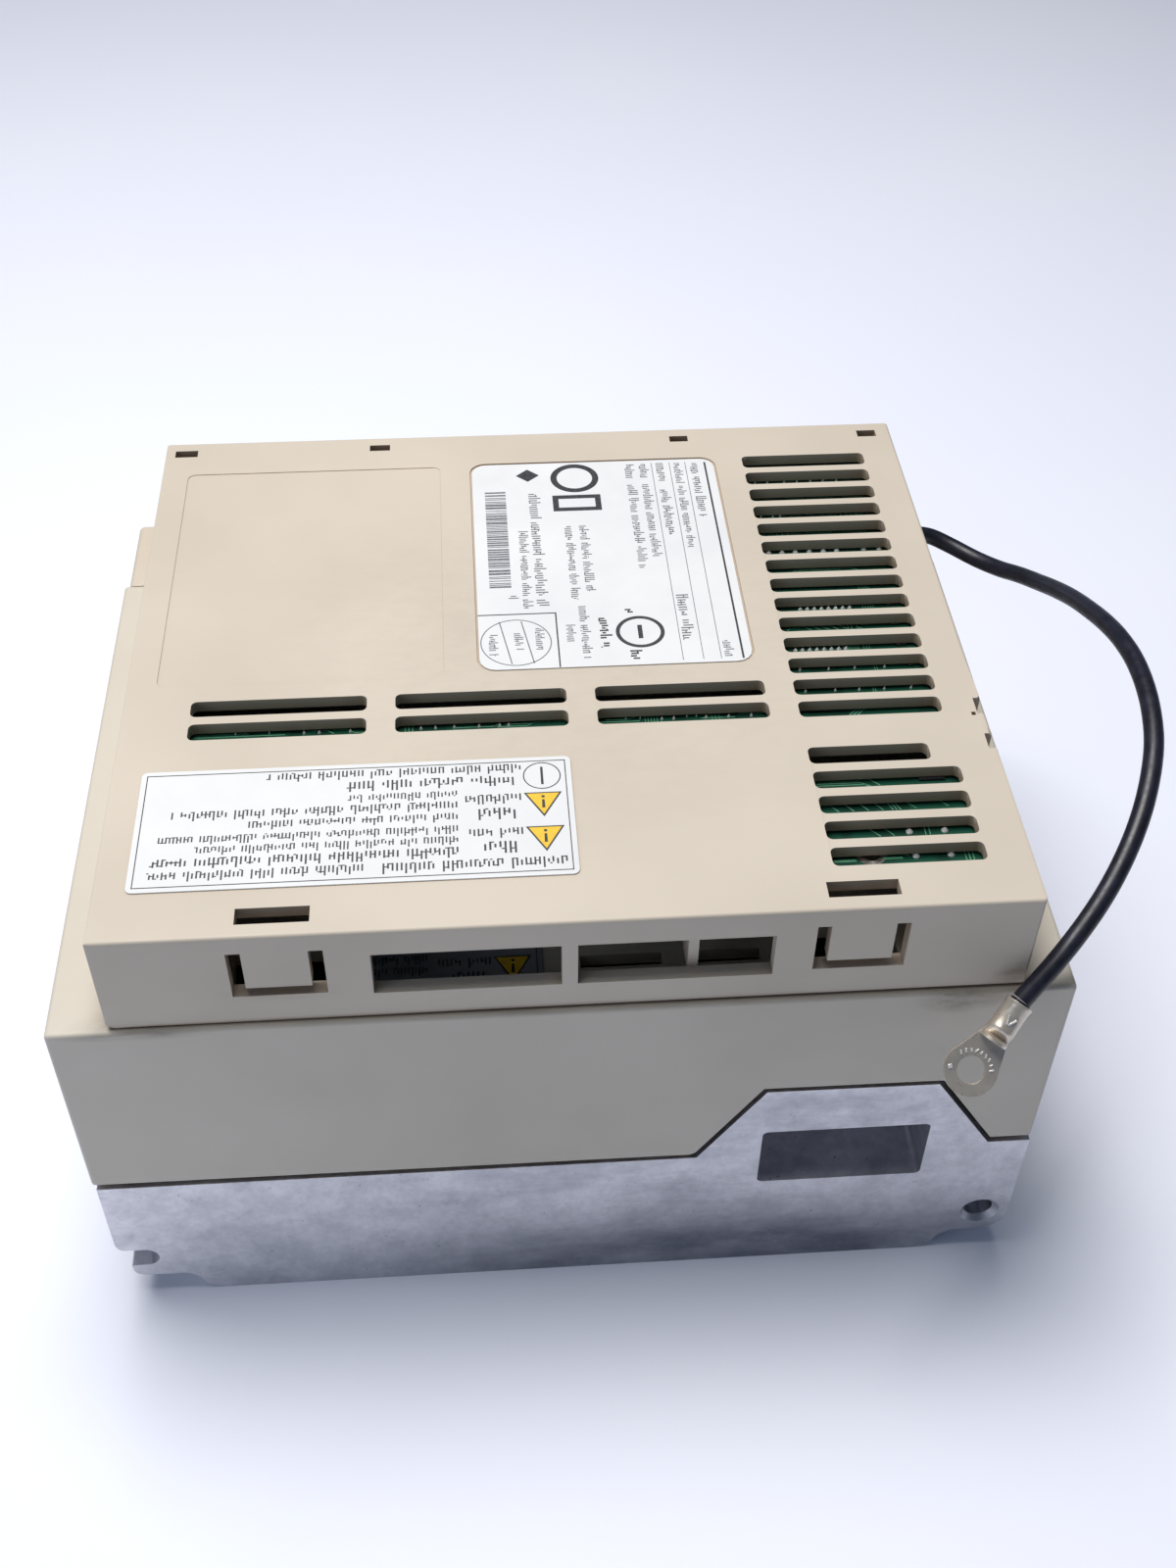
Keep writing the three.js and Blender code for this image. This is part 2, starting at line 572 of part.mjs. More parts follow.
function ringTerminal() {
  const along = new THREE.Vector3(...TERMINAL.along).normalize();
  const normal = new THREE.Vector3(...TERMINAL.normal).normalize();
  const side = new THREE.Vector3().crossVectors(normal, along).normalize();
  const up = new THREE.Vector3().crossVectors(along, side).normalize();
  const start = new THREE.Vector3(...ROUTE[ROUTE.length - 1]).addScaledVector(along, 0.5);
  const ring = new THREE.Shape();
  ring.moveTo(6.2, -RING.neck);
  ring.absarc(RING.at, 0, RING.r, -1.95, 1.95, false);
  ring.lineTo(6.2, RING.neck);
  ring.lineTo(3.8, 1.8);
  ring.lineTo(3.8, -1.8);
  const eye = new THREE.Path();
  eye.absarc(RING.at, 0, RING.hole, 0, Math.PI * 2, true);
  ring.holes.push(eye);
  const plate = new THREE.ExtrudeGeometry(ring, { depth: 0.8, bevelEnabled: false, curveSegments: 14 });
  plate.translate(0, 0, -1.4);
  const barrel = new THREE.LatheGeometry(
    [[0, 0], [2.2, 0], [2.2, 5.2], [1.7, 6.1], [0, 6.4]].map(([r, h]) => new THREE.Vector2(r, h)), 20);
  barrel.rotateZ(-Math.PI / 2);
  const place = new THREE.Matrix4().makeBasis(along, side, up).setPosition(start);
  plate.applyMatrix4(place);
  barrel.applyMatrix4(place);
  return solid(plate).add(solid(barrel));
}

// ---- labels -------------------------------------------------------------------------------------

function plateLabel(x0, x1, y0, y1, z, r) {
  return slab(roundRect(x0, x1, y0, y1, r), "z", z, z + 0.2, 2);
}

// ---- assembly -----------------------------------------------------------------------------------

part("heatsink_base", heatsinkBase(), "cast");
part("main_housing", mainHousing(), "beige");
part("front_cover", frontCover(), "beige");
part("operator_panel", operatorPanel(), "black");
part("digit_display", digitDisplay(), "smoke");
KEYS.forEach((k, i) => part(`panel_key_${i + 1}`, key(k), "white"));
part("display_flap", displayFlap(), "beige");
part("flap_window", flapWindow(), "smoke");
part("line_connector", terminalBlock(LINE_X, 5), "black");
part("bus_connector", terminalBlock(BUS_X, 4), "black");
part("motor_connector", terminalBlock(MOTOR_X, 3), "green");
part("io_connector", ribbonSocket(-37.1, 12.9, SOCKET_Z.low, SOCKET_Z.high, 64.2, 17), "black");
part("encoder_connector", ribbonSocket(-68.5, -43.5, SOCKET_Z.low, SOCKET_Z.high, 64.2, 17), "black");
part("operator_connector", ribbonSocket(19.1, 33.5, SOCKET_Z.low, SOCKET_Z.high, 64.2, 17), "black");
part("monitor_connector", monitorConnector(), "white");
part("charge_lamp", chargeLamp(), "red");
part("earth_plate", earthPlate(), "tin");
EARTH_Z.forEach((z, i) =>
  part(`earth_screw_${i + 1}`, screw([EARTH_X, 62.1, z], [0, 1, 0], 3.4, 2.5, 1.9, 8), "tin"));
part("power_board", powerBoard(), "board");
part("power_module", powerModule(), "black");
part("rectifier_bridge", rectifier(), "black");
[-52, -24, 4].forEach((x, i) => part(`bus_capacitor_${i + 1}`, capacitor(x), "sleeve"));
part("supply_transformer", supplyTransformer(), "sleeve");
part("inrush_relay", relay(), "black");
part("control_board", controlBoard(), "board");
SPACERS.forEach((p, i) => part(`board_spacer_${i + 1}`, spacer(p, 41.7, 65.9), "tin"));
part("bridge_header", bridge(67.7, 78.4, 0), "black");
part("module_cover", moduleCover(), "beige");
part("module_base", moduleBase(), "beige");
part("module_board", moduleBoard(), "board");
part("bridge_socket", bridge(78.6, 89.8, 0.8), "white");
JACKS.forEach((x, i) => part(`network_socket_${i + 1}`, networkSocket(x), "black"));
part("feedback_socket", ribbonSocket(-52.1, -23.3, 80.7, 89.3, 63.4, 14), "black");
part("rotary_body", rotaryBody(), "black");
part("rotary_rotor", rotaryRotor(), "white");
part("dip_body", dipBody(), "black");
for (let i = 0; i < DIP.ways; i += 1) part(`dip_slider_${i + 1}`, dipSlider(i), "white");
part("run_lamp", lamp(81.6), "green");
part("alarm_lamp", lamp(86.8), "red");
part("wire_relief", wireRelief(), "black");
part("ground_wire", groundWire(), "black");
part("ring_terminal", ringTerminal(), "tin");
part("rating_label", plateLabel(-11.5, 35.2, -7, 53.3, 94.63, 2.8), "white");
part("caution_label", plateLabel(-65.5, 2.3, -54.7, -29, MOD.top + 0.03, 1), "white");
part("housing_label", plateLabel(-34, -3.5, -60, -49, DRIVE.top + 0.03, 1), "white");

export default object;
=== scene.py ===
"""The looks of a servo drive with a side interface module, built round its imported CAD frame.

Metres, +Z up. The drive lies on its left side: +X is its top end, +Y its front, +Z its right side.
"""

import json
import math
import random

import bmesh
import bpy
from mathutils import Matrix, Vector
from mathutils.geometry import tessellate_polygon


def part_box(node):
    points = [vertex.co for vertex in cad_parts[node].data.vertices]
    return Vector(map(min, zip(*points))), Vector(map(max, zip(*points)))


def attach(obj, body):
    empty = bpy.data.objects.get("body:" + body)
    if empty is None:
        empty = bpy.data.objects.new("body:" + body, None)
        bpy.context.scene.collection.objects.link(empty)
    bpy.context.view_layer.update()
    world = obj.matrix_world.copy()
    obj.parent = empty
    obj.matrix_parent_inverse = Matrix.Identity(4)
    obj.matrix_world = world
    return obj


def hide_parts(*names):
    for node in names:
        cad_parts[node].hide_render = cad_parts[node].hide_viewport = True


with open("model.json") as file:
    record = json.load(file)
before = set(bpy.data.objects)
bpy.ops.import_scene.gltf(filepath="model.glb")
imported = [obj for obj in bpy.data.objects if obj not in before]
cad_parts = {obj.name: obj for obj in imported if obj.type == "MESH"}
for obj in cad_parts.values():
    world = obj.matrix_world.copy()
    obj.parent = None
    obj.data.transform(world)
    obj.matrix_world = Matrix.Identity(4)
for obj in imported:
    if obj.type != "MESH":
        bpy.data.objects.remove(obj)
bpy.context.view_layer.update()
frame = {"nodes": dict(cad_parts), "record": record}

MM = 0.001
ROOT = "drive"
scene = bpy.context.scene
scene.view_settings.view_transform = "Standard"


def mm(*values):
    """Millimetres as metres."""
    return tuple(v * MM for v in values)


def in_scene(name, data):
    """A new object in the scene."""
    o = bpy.data.objects.new(name, data)
    scene.collection.objects.link(o)
    return o


# ---- camera ------------------------------------------------------------------

CAMERA_AT = Vector(mm(-11.43, -236.8, 293.6))
CAMERA_AIM = Vector(mm(12.56, 60.76, 0))
CAMERA_ROLL = math.radians(0.836)
CAMERA_LENS = 41.12


def make_camera():
    data = bpy.data.cameras.new("camera")
    data.lens = CAMERA_LENS
    data.sensor_width = 36
    data.clip_start = 0.01
    data.clip_end = 50
    camera = in_scene("camera", data)
    level = (CAMERA_AIM - CAMERA_AT).to_track_quat("-Z", "Y").to_matrix().to_4x4()
    camera.matrix_world = Matrix.Translation(CAMERA_AT) @ level @ Matrix.Rotation(CAMERA_ROLL, 4, "Z")
    scene.camera = camera


make_camera()


# ---- building blocks ---------------------------------------------------------

node_slot = {part["node"]: part["material_slot"] for part in frame["record"]["subparts"]}
node_body = {n: body for body, nodes in frame["record"]["behaviour"]["bodies"].items() for n in nodes}


def box_mm(node):
    """A CAD node's lowest and highest corners in millimetres."""
    low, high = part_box(node)
    return [v / MM for v in low], [v / MM for v in high]


def centre_mm(node):
    """The middle of a CAD node's box in millimetres."""
    return [(a + b) / 2 for a, b in zip(*box_mm(node))]


def piece(name, mesh, material, body=ROOT, replaces=()):
    """Puts a mesh in the scene as one piece that rides on a body."""
    o = in_scene(name, mesh)
    mesh.materials.clear()
    mesh.materials.append(material)
    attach(o, body)
    if replaces:
        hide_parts(*replaces)
    return o


def mesh_of(bm, name, smooth_angle=35):
    """Turns a bmesh into a mesh that is smooth apart from edges sharper than the angle."""
    bmesh.ops.recalc_face_normals(bm, faces=bm.faces)
    mesh = bpy.data.meshes.new(name)
    bm.to_mesh(mesh)
    bm.free()
    mesh.polygons.foreach_set("use_smooth", [True] * len(mesh.polygons))
    mesh.set_sharp_from_angle(angle=math.radians(smooth_angle))
    return mesh


def add_wall(bm, low, high):
    """Adds the faces between two loops of as many points."""
    for i in range(len(low)):
        j = (i + 1) % len(low)
        bm.faces.new([low[i], low[j], high[j], high[i]])


def add_skin(bm, rings):
    """Adds a closed skin over rings of points."""
    for low, high in zip(rings, rings[1:]):
        add_wall(bm, low, high)
    bm.faces.new(rings[0][::-1])
    bm.faces.new(rings[-1])


def add_prism(bm, outline, low, high, axes="xyz"):
    """Adds a closed prism: its outline lies in the first two axes and it runs along the third."""
    order = ["xyz".index(a) for a in axes]

    def place(u, v, w):
        p = [0, 0, 0]
        p[order[0]], p[order[1]], p[order[2]] = u, v, w
        return bm.verts.new(mm(*p))

    bottom = [place(u, v, low) for u, v in outline]
    top = [place(u, v, high) for u, v in outline]
    for tri in tessellate_polygon([[Vector((u, v, 0)) for u, v in outline]]):
        bm.faces.new([bottom[i] for i in tri])
        bm.faces.new([top[i] for i in tri])
    add_wall(bm, bottom, top)


def add_box(bm, x0, x1, y0, y1, z0, z1):
    """Adds a closed box, in millimetres."""
    add_prism(bm, [(x0, y0), (x1, y0), (x1, y1), (x0, y1)], z0, z1)


def circle(cx, cy, radius, count):
    """Evenly spaced points on a circle."""
    turns = [math.tau * i / count for i in range(count)]
    return [(cx + radius * math.cos(a), cy + radius * math.sin(a)) for a in turns]


def arc(cx, cy, radius, start, end, steps):
    """Points on an arc, with its angles in degrees."""
    angles = [math.radians(start + (end - start) * i / steps) for i in range(steps + 1)]
    return [(cx + radius * math.cos(a), cy + radius * math.sin(a)) for a in angles]


def band(cx, cy, outer, inner):
    """The outline of a ring, with a hairline gap so that it stays one outline."""
    return arc(cx, cy, outer, 0, 359.8, 40) + arc(cx, cy, inner, 359.8, 0, 40)


def rounded(x0, x1, y0, y1, r):
    """The outline of a rectangle with round corners."""
    return [
        *arc(x1 - r, y0 + r, r, -90, 0, 5), *arc(x1 - r, y1 - r, r, 0, 90, 5),
        *arc(x0 + r, y1 - r, r, 90, 180, 5), *arc(x0 + r, y0 + r, r, 180, 270, 5),
    ]


def turned_outline(x, y, turn, points):
    """An outline turned about its own centre and moved to (x, y)."""
    c, s = math.cos(turn), math.sin(turn)
    return [(x + u * c - v * s, y + u * s + v * c) for u, v in points]


def solids(name, material, build, body=ROOT, round_mm=0):
    """A piece made of the closed solids that build(bm) adds, with its edges rounded if asked."""
    bm = bmesh.new()
    build(bm)
    o = piece(name, mesh_of(bm, name), material, body)
    if round_mm:
        round_edges(o, round_mm)
    return o


def round_edges(o, width_mm):
    """Rounds a piece's sharp edges, and lets its flat faces set the shading."""
    bevel = o.modifiers.new("round", "BEVEL")
    bevel.limit_method = "ANGLE"
    bevel.angle_limit = math.radians(40)
    bevel.width = width_mm * MM
    bevel.segments = 2
    bevel.miter_outer = "MITER_ARC"
    weigh = o.modifiers.new("weigh", "WEIGHTED_NORMAL")
    weigh.keep_sharp = True


SAME_POINT = 2e-6
ON_THE_BOX = 1e-5
FLAT_ENOUGH = math.radians(0.3)


def refine(node, material, width_mm, outer_mm):
    """Stands for a CAD node: the same solid, with rounded edges and rounder outermost edges."""
    bm = bmesh.new()
    bm.from_mesh(frame["nodes"][node].data)
    bmesh.ops.remove_doubles(bm, verts=bm.verts, dist=SAME_POINT)
    bmesh.ops.dissolve_limit(bm, angle_limit=FLAT_ENOUGH, verts=bm.verts, edges=bm.edges)
    bmesh.ops.triangulate(bm, faces=bm.faces)
    bmesh.ops.dissolve_degenerate(bm, dist=SAME_POINT, edges=bm.edges)
    if outer_mm:
        mark_outer_edges(bm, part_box(node))
    mesh = mesh_of(bm, node + "_shape", 38)
    o = piece(node + "_shape", mesh, material, node_body[node], (node,))
    if outer_mm:
        bevel = o.modifiers.new("outer", "BEVEL")
        bevel.limit_method = "WEIGHT"
        bevel.width = outer_mm * MM
        bevel.segments = 4
    if width_mm:
        round_edges(o, width_mm)
    else:
        mesh.polygons.foreach_set("use_smooth", [False] * len(mesh.polygons))


def mark_outer_edges(bm, box):
    """Gives full bevel weight to the edges that lie on an edge of the box."""
    weight = bm.edges.layers.float.new("bevel_weight_edge")
    for edge in bm.edges:
        shared = 0
        for axis in range(3):
            for side in box:
                shared += all(abs(v.co[axis] - side[axis]) < ON_THE_BOX for v in edge.verts)
        edge[weight] = 1.0 if shared == 2 else 0.0


# ---- materials ---------------------------------------------------------------

class Material:
    """A node material round one Principled shader, built from a few short calls."""

    def __init__(self, name, **constants):
        self.data = bpy.data.materials.new(name)
        self.data.use_nodes = True
        self.tree = self.data.node_tree
        self.shader = self.tree.nodes["Principled BSDF"]
        for key, value in constants.items():
            self.shader.inputs[key.replace("_", " ")].default_value = value
        self.place = self.node("ShaderNodeTexCoord").outputs["Object"]

    def node(self, kind, **settings):
        n = self.tree.nodes.new(kind)
        for key, value in settings.items():
            setattr(n, key, value)
        return n

    def link(self, source, node, key):
        self.tree.links.new(source, node.inputs[key])

    def stretch(self, x, y, z):
        """The object's own coordinates scaled along each axis."""
        n = self.node("ShaderNodeMapping")
        n.inputs["Scale"].default_value = (x, y, z)
        self.link(self.place, n, "Vector")
        return n.outputs["Vector"]

    def noise(self, size_mm, detail=3.0, roughness=0.5, vector=None):
        """Noise with features of about that size."""
        n = self.node("ShaderNodeTexNoise")
        n.inputs["Scale"].default_value = 1000 / size_mm
        n.inputs["Detail"].default_value = detail
        n.inputs["Roughness"].default_value = roughness
        self.link(vector or self.place, n, "Vector")
        return n.outputs["Fac"]

    def ramp(self, value, *stops):
        """Colours at places along a value; each stop is (place, colour or grey)."""
        n = self.node("ShaderNodeValToRGB")
        self.link(value, n, "Fac")
        elements = n.color_ramp.elements
        while len(elements) < len(stops):
            elements.new(0.5)
        for element, (at, colour) in zip(elements, stops):
            element.position = at
            grey = isinstance(colour, (int, float))
            element.color = (colour, colour, colour, 1) if grey else (*colour, 1)
        return n.outputs["Color"]

    def mix(self, share, a, b):
        """The plain colour b over a by a share."""
        n = self.node("ShaderNodeMix", data_type="RGBA")
        self.link(share, n, 0)
        self.link(a, n, 6)
        n.inputs[7].default_value = (*b, 1)
        return n.outputs[2]

    def times(self, a, b):
        """One value times another, which may be a plain number."""
        n = self.node("ShaderNodeMath", operation="MULTIPLY")
        self.link(a, n, 0)
        if isinstance(b, float):
            n.inputs[1].default_value = b
        else:
            self.link(b, n, 1)
        return n.outputs[0]

    def spot(self, centre, radii):
        """1 at a place in millimetres, fading to 0 over the radii."""
        n = self.node("ShaderNodeMapping")
        n.inputs["Scale"].default_value = [1000 / r for r in radii]
        n.inputs["Location"].default_value = [-c / r for c, r in zip(centre, radii)]
        self.link(self.place, n, "Vector")
        ball = self.node("ShaderNodeTexGradient", gradient_type="SPHERICAL")
        self.link(n.outputs["Vector"], ball, "Vector")
        return ball.outputs["Fac"]

    def colour(self, value):
        self.link(value, self.shader, "Base Color")

    def rough(self, value):
        self.link(value, self.shader, "Roughness")

    def bump(self, height, depth_mm, strength, below=None):
        n = self.node("ShaderNodeBump")
        n.inputs["Strength"].default_value = strength
        n.inputs["Distance"].default_value = depth_mm * MM
        self.link(height, n, "Height")
        if below:
            self.link(below, n, "Normal")
        return n.outputs["Normal"]

    def normal(self, value):
        self.link(value, self.shader, "Normal")


def linear(r, g, b):
    """A colour given in 0-255 screen values, as scene-linear values."""
    def one(c):
        c /= 255
        return c / 12.92 if c <= 0.04045 else ((c + 0.055) / 1.055) ** 2.4
    return one(r), one(g), one(b)


# The brown that the darker patches on the beige parts go towards.
PATCH_BROWN = linear(96, 82, 66)
# How far the occlusion node looks for the painted shade in hollows.
PAINTED_SHADE_REACH = 4.5 * MM


def plastic(name, base, darker, roughness=0.55, grain_mm=0.35, grain_depth=0.012, dirt=0.5, dark_patches=(),
            hollow=None):
    """Moulded plastic: a fine spark-eroded grain, faint cloudy ageing and a little handling dirt.

    Each dark patch is (centre, radii, strength, streak): a place darkened towards a brown that noise
    breaks up. The hollow colour is painted shade: an occlusion node darkens the skin towards it deep
    inside slots, corners and seams.
    """
    m = Material(name, Specular_IOR_Level=0.4)
    clouds = m.ramp(m.noise(45, 3), (0.35, darker), (0.65, base))
    specks = m.ramp(m.noise(1.3, 2, 0.6), (0.70, 0.0), (0.80, 1.0))
    patches = m.ramp(m.noise(28, 4, 0.6), (0.55, 0.0), (0.75, 1.0))
    grime = tuple(c * 0.62 for c in darker)
    dirty = m.mix(m.times(m.times(specks, patches), dirt), clouds, grime)
    rubbed = m.ramp(m.noise(9, 5, 0.7, m.stretch(1, 0.25, 1)), (0.62, 0.0), (0.8, 0.08 * dirt))
    skin = m.mix(rubbed, dirty, grime)
    for centre, radii, strength, streak in dark_patches:
        broken = m.ramp(m.noise(2.2, 5, 0.65, m.stretch(streak, 1, 1)), (0.4, 0.3), (0.64, 1.0))
        place = m.ramp(m.spot(centre, radii), (0.0, 0.0), (0.7, strength))
        skin = m.mix(m.times(broken, place), skin, PATCH_BROWN)
    # Painted shade in hollows: darker where the occlusion node finds surfaces close by.
    if hollow:
        shade = m.node("ShaderNodeAmbientOcclusion", samples=6)
        shade.inputs["Distance"].default_value = PAINTED_SHADE_REACH
        skin = m.mix(m.ramp(shade.outputs["AO"], (0.25, 0.8), (0.9, 0.0)), skin, hollow)
    m.colour(skin)
    grain = m.noise(grain_mm, 2, 0.5)
    m.rough(m.ramp(m.noise(14, 3), (0.3, roughness - 0.07), (0.7, roughness + 0.07)))
    m.normal(m.bump(grain, grain_depth, 0.6))
    return m.data


def cast_metal():
    """As-cast aluminium: a dull skin with faint clouds, dark streaks and small pits, and painted shade
    low down on the near face.
    """
    m = Material("cast_aluminium", Metallic=1.0)
    cloud = m.ramp(m.noise(7, 8, 0.72), (0.36, linear(190, 191, 197)), (0.64, linear(217, 217, 222)))
    streak = m.ramp(m.noise(20, 6, 0.66, m.stretch(0.4, 1, 1.4)), (0.52, 0.0), (0.66, 0.4))
    streaked = m.mix(streak, cloud, linear(136, 140, 152))
    # Painted shade: the lower part of the near face, right of the middle, darkens towards a dark
    # blue-grey that stands in for the shaded floor seen in reflection; the noise below breaks up its
    # edge.
    low_shade_breakup = m.ramp(m.noise(12, 6, 0.66, m.stretch(0.5, 1, 1.2)), (0.34, 0.5), (0.66, 1.0))
    low = m.times(m.ramp(m.spot((30, -66, 2), (84, 40, 20)), (0.05, 0.0), (0.7, 0.85)), low_shade_breakup)
    with_painted_low_shade = m.mix(low, streaked, linear(90, 94, 110))
    mottle = m.mix(m.ramp(m.noise(1.7, 4, 0.7), (0.45, 0.0), (0.7, 0.2)), with_painted_low_shade, linear(150, 152, 162))
    pits = m.ramp(m.noise(0.9, 3, 0.6), (0.685, 0.0), (0.74, 0.65))
    m.colour(m.mix(pits, mottle, linear(92, 92, 102)))
    m.rough(m.ramp(m.noise(2.5, 6, 0.7), (0.35, 0.36), (0.65, 0.54)))
    coarse = m.bump(m.noise(2.6, 6, 0.7), 0.035, 0.55)
    m.normal(m.bump(m.noise(0.5, 3, 0.65), 0.022, 0.8, coarse))
    return m.data


def board_mask():
    """Green solder mask over faintly showing copper."""
    m = Material("circuit_board", Roughness=0.4, Specular_IOR_Level=0.35)
    weave = m.noise(0.5, 1)
    copper = m.noise(6, 1, 0.5, m.stretch(1, 0.4, 1))
    planes = m.ramp(copper, (0.47, linear(12, 58, 44)), (0.5, linear(18, 74, 56)))
    m.colour(m.mix(m.ramp(weave, (0.4, 0.0), (0.7, 0.12)), planes, linear(8, 44, 34)))
    m.normal(m.bump(weave, 0.01, 0.3))
    return m.data


def metal(name, light, dark, low, high, grain=1.2, scratched=False, metallic=1.0):
    """Plated metal with cloudy gloss and, if asked, fine hair scratches."""
    m = Material(name, Metallic=metallic)
    m.colour(m.ramp(m.noise(grain * 3, 4, 0.6), (0.3, dark), (0.7, light)))
    hair = m.noise(0.4, 3, 0.5, m.stretch(0.15, 1, 1)) if scratched else m.noise(grain, 3, 0.6)
    m.rough(m.ramp(hair, (0.3, low), (0.7, high)))
    m.normal(m.bump(m.noise(grain, 3, 0.5), 0.012, 0.4))
    return m.data


def film(name, base, darker):
    """Printed label film, very slightly rippled and soiled."""
    m = Material(name, Specular_IOR_Level=0.35)
    m.colour(m.ramp(m.noise(18, 4, 0.6), (0.3, darker), (0.7, base)))
    m.rough(m.ramp(m.noise(6, 3), (0.3, 0.42), (0.7, 0.56)))
    m.normal(m.bump(m.noise(9, 2), 0.02, 0.15))
    return m.data


def vinyl():
    """Glossy black cable jacket with faint scuffs."""
    m = Material("wire_jacket", Specular_IOR_Level=0.5)
    m.colour(m.ramp(m.noise(4, 4, 0.6), (0.35, linear(17, 17, 27)), (0.75, linear(32, 32, 48))))
    m.rough(m.ramp(m.noise(1.6, 4, 0.65), (0.35, 0.34), (0.75, 0.52)))
    m.normal(m.bump(m.noise(0.8, 3), 0.015, 0.4))
    return m.data


def tinted_window():
    """Smoky red acrylic."""
    m = Material("smoke_window", Roughness=0.06, IOR=1.49, Transmission_Weight=0.85)
    m.colour(m.ramp(m.noise(12, 2), (0.3, linear(110, 34, 30)), (0.7, linear(124, 40, 34))))
    return m.data


def ink(name, colour, fade):
    """Screen-printed ink with a slightly broken edge."""
    m = Material(name, Roughness=0.5)
    m.colour(m.ramp(m.noise(0.6, 3, 0.6), (0.35, colour), (0.75, fade)))
    return m.data


BEIGE = plastic("beige_plastic", linear(199, 188, 173), linear(191, 180, 165))
# Darker patches on the housing: a smudge on the near face below the terminal, one at the left end and a
# line along the seam under the module.
BODY_BEIGE = plastic("beige_body", linear(197, 190, 177), linear(189, 182, 169), dark_patches=(
    ((61.5, -65, 73.6), (8, 8, 4), 0.55, 0.35), ((-66, -65, 74.4), (13, 6, 1.5), 0.5, 0.2),
    ((4, -64.6, 75.2), (76, 1.6, 1.2), 0.32, 0.15),
), hollow=linear(132, 116, 97))
# Darker patches on the module cover: a line along its foot, a smudge by the wire at its right end, a mark
# at the left and a faint one over the top.
MODULE_BEIGE = plastic("beige_module", linear(198, 188, 173), linear(190, 180, 165), dark_patches=(
    ((0, -64.2, 75.4), (73, 3, 0.9), 0.5, 0.12), ((69.6, -64.2, 78), (4, 4, 3), 0.5, 0.4),
    ((-43, -64.2, 82), (11, 3, 2.2), 0.2, 0.3), ((2, 0, 94.9), (66, 60, 1), 0.08, 0.5),
), hollow=linear(142, 112, 84))
BLACK = plastic("black_plastic", linear(38, 38, 41), linear(30, 30, 33), 0.42, 0.3, 0.01, 0.2)
WHITE = plastic("white_plastic", linear(226, 223, 214), linear(216, 212, 202), 0.4, 0.3, 0.006, 0.2)
GREEN = plastic("green_plastic", linear(92, 148, 112), linear(82, 138, 102), 0.42, 0.3, 0.008, 0.2)
SLEEVE = plastic("capacitor_sleeve", linear(38, 46, 70), linear(30, 36, 58), 0.28, 0.8, 0.004, 0.1)
DIGITS = plastic("display_plastic", linear(52, 20, 20), linear(42, 16, 16), 0.25, 0.5, 0.003, 0.1)
RED = plastic("lamp_red", linear(186, 44, 32), linear(170, 36, 28), 0.25, 0.8, 0.003, 0.1)
LAMP_GREEN = plastic("lamp_green", linear(70, 160, 90), linear(58, 146, 80), 0.25, 0.8, 0.003, 0.1)
CAST = cast_metal()
BOARD = board_mask()
STEEL = metal("steel_plated", linear(205, 206, 208), linear(168, 170, 176), 0.28, 0.45, 1.0, True)
TIN = metal("tin_plated", linear(226, 224, 220), linear(194, 192, 190), 0.22, 0.36, 0.8)
DULL_TIN = metal("dull_tin", linear(220, 209, 194), linear(203, 193, 179), 0.24, 0.4, 1.6, metallic=0.66)
SOLDER = metal("solder", linear(252, 252, 250), linear(240, 240, 238), 0.14, 0.26, 0.5, metallic=0.5)
GOLD = metal("contact_gold", linear(214, 180, 110), linear(190, 156, 90), 0.2, 0.35)
LABEL = film("label_film", linear(220, 221, 222), linear(210, 212, 214))
SHADED_LABEL = film("shaded_label", linear(142, 145, 150), linear(126, 129, 136))
VINYL = vinyl()
WINDOW = tinted_window()
INK = ink("ink_black", linear(40, 42, 46), linear(66, 68, 72))
INK_GREY = ink("ink_grey", linear(92, 95, 102), linear(124, 126, 132))
INK_YELLOW = ink("ink_yellow", linear(232, 190, 48), linear(220, 176, 44))
TRACE = metal("trace_green", linear(112, 178, 142), linear(84, 150, 116), 0.35, 0.5, 0.6, metallic=0.2)
LIT = ink("segment_red", linear(150, 40, 34), linear(126, 32, 28))


# ---- ground wire and ring terminal -------------------------------------------

WIRE_DIAMETER = 3.2 * MM
STEPS = 8
ROUTE = [
    (76.45, 48.8, 78.4), (80.0, 49.1, 77.3), (83.8, 47.5, 76.1), (88.2, 43.7, 75.5), (91.5, 38.8, 76.7),
    (93.8, 33.3, 79.3), (95.5, 27.2, 82.2), (96.7, 20.8, 85.4), (97.5, 14.1, 88.6), (98.0, 7.3, 91.5),
    (98.4, 0.3, 94.2), (98.6, -6.7, 96.4), (98.6, -13.7, 97.8), (98.2, -20.6, 98.4), (97.4, -27.3, 98.3),
    (96.1, -33.9, 97.4), (94.0, -40.2, 95.7), (91.3, -46.1, 93.4), (87.9, -51.7, 90.6),
    (84.0, -56.7, 87.5), (79.7, -61.0, 84.2), (75.0, -64.9, 80.8), (69.9, -68.2, 76.4),
]
TERMINAL_ALONG = Vector((-0.6, -0.51, -0.616)).normalized()
TERMINAL_NORMAL = Vector((-0.075, -0.73, 0.68)).normalized()


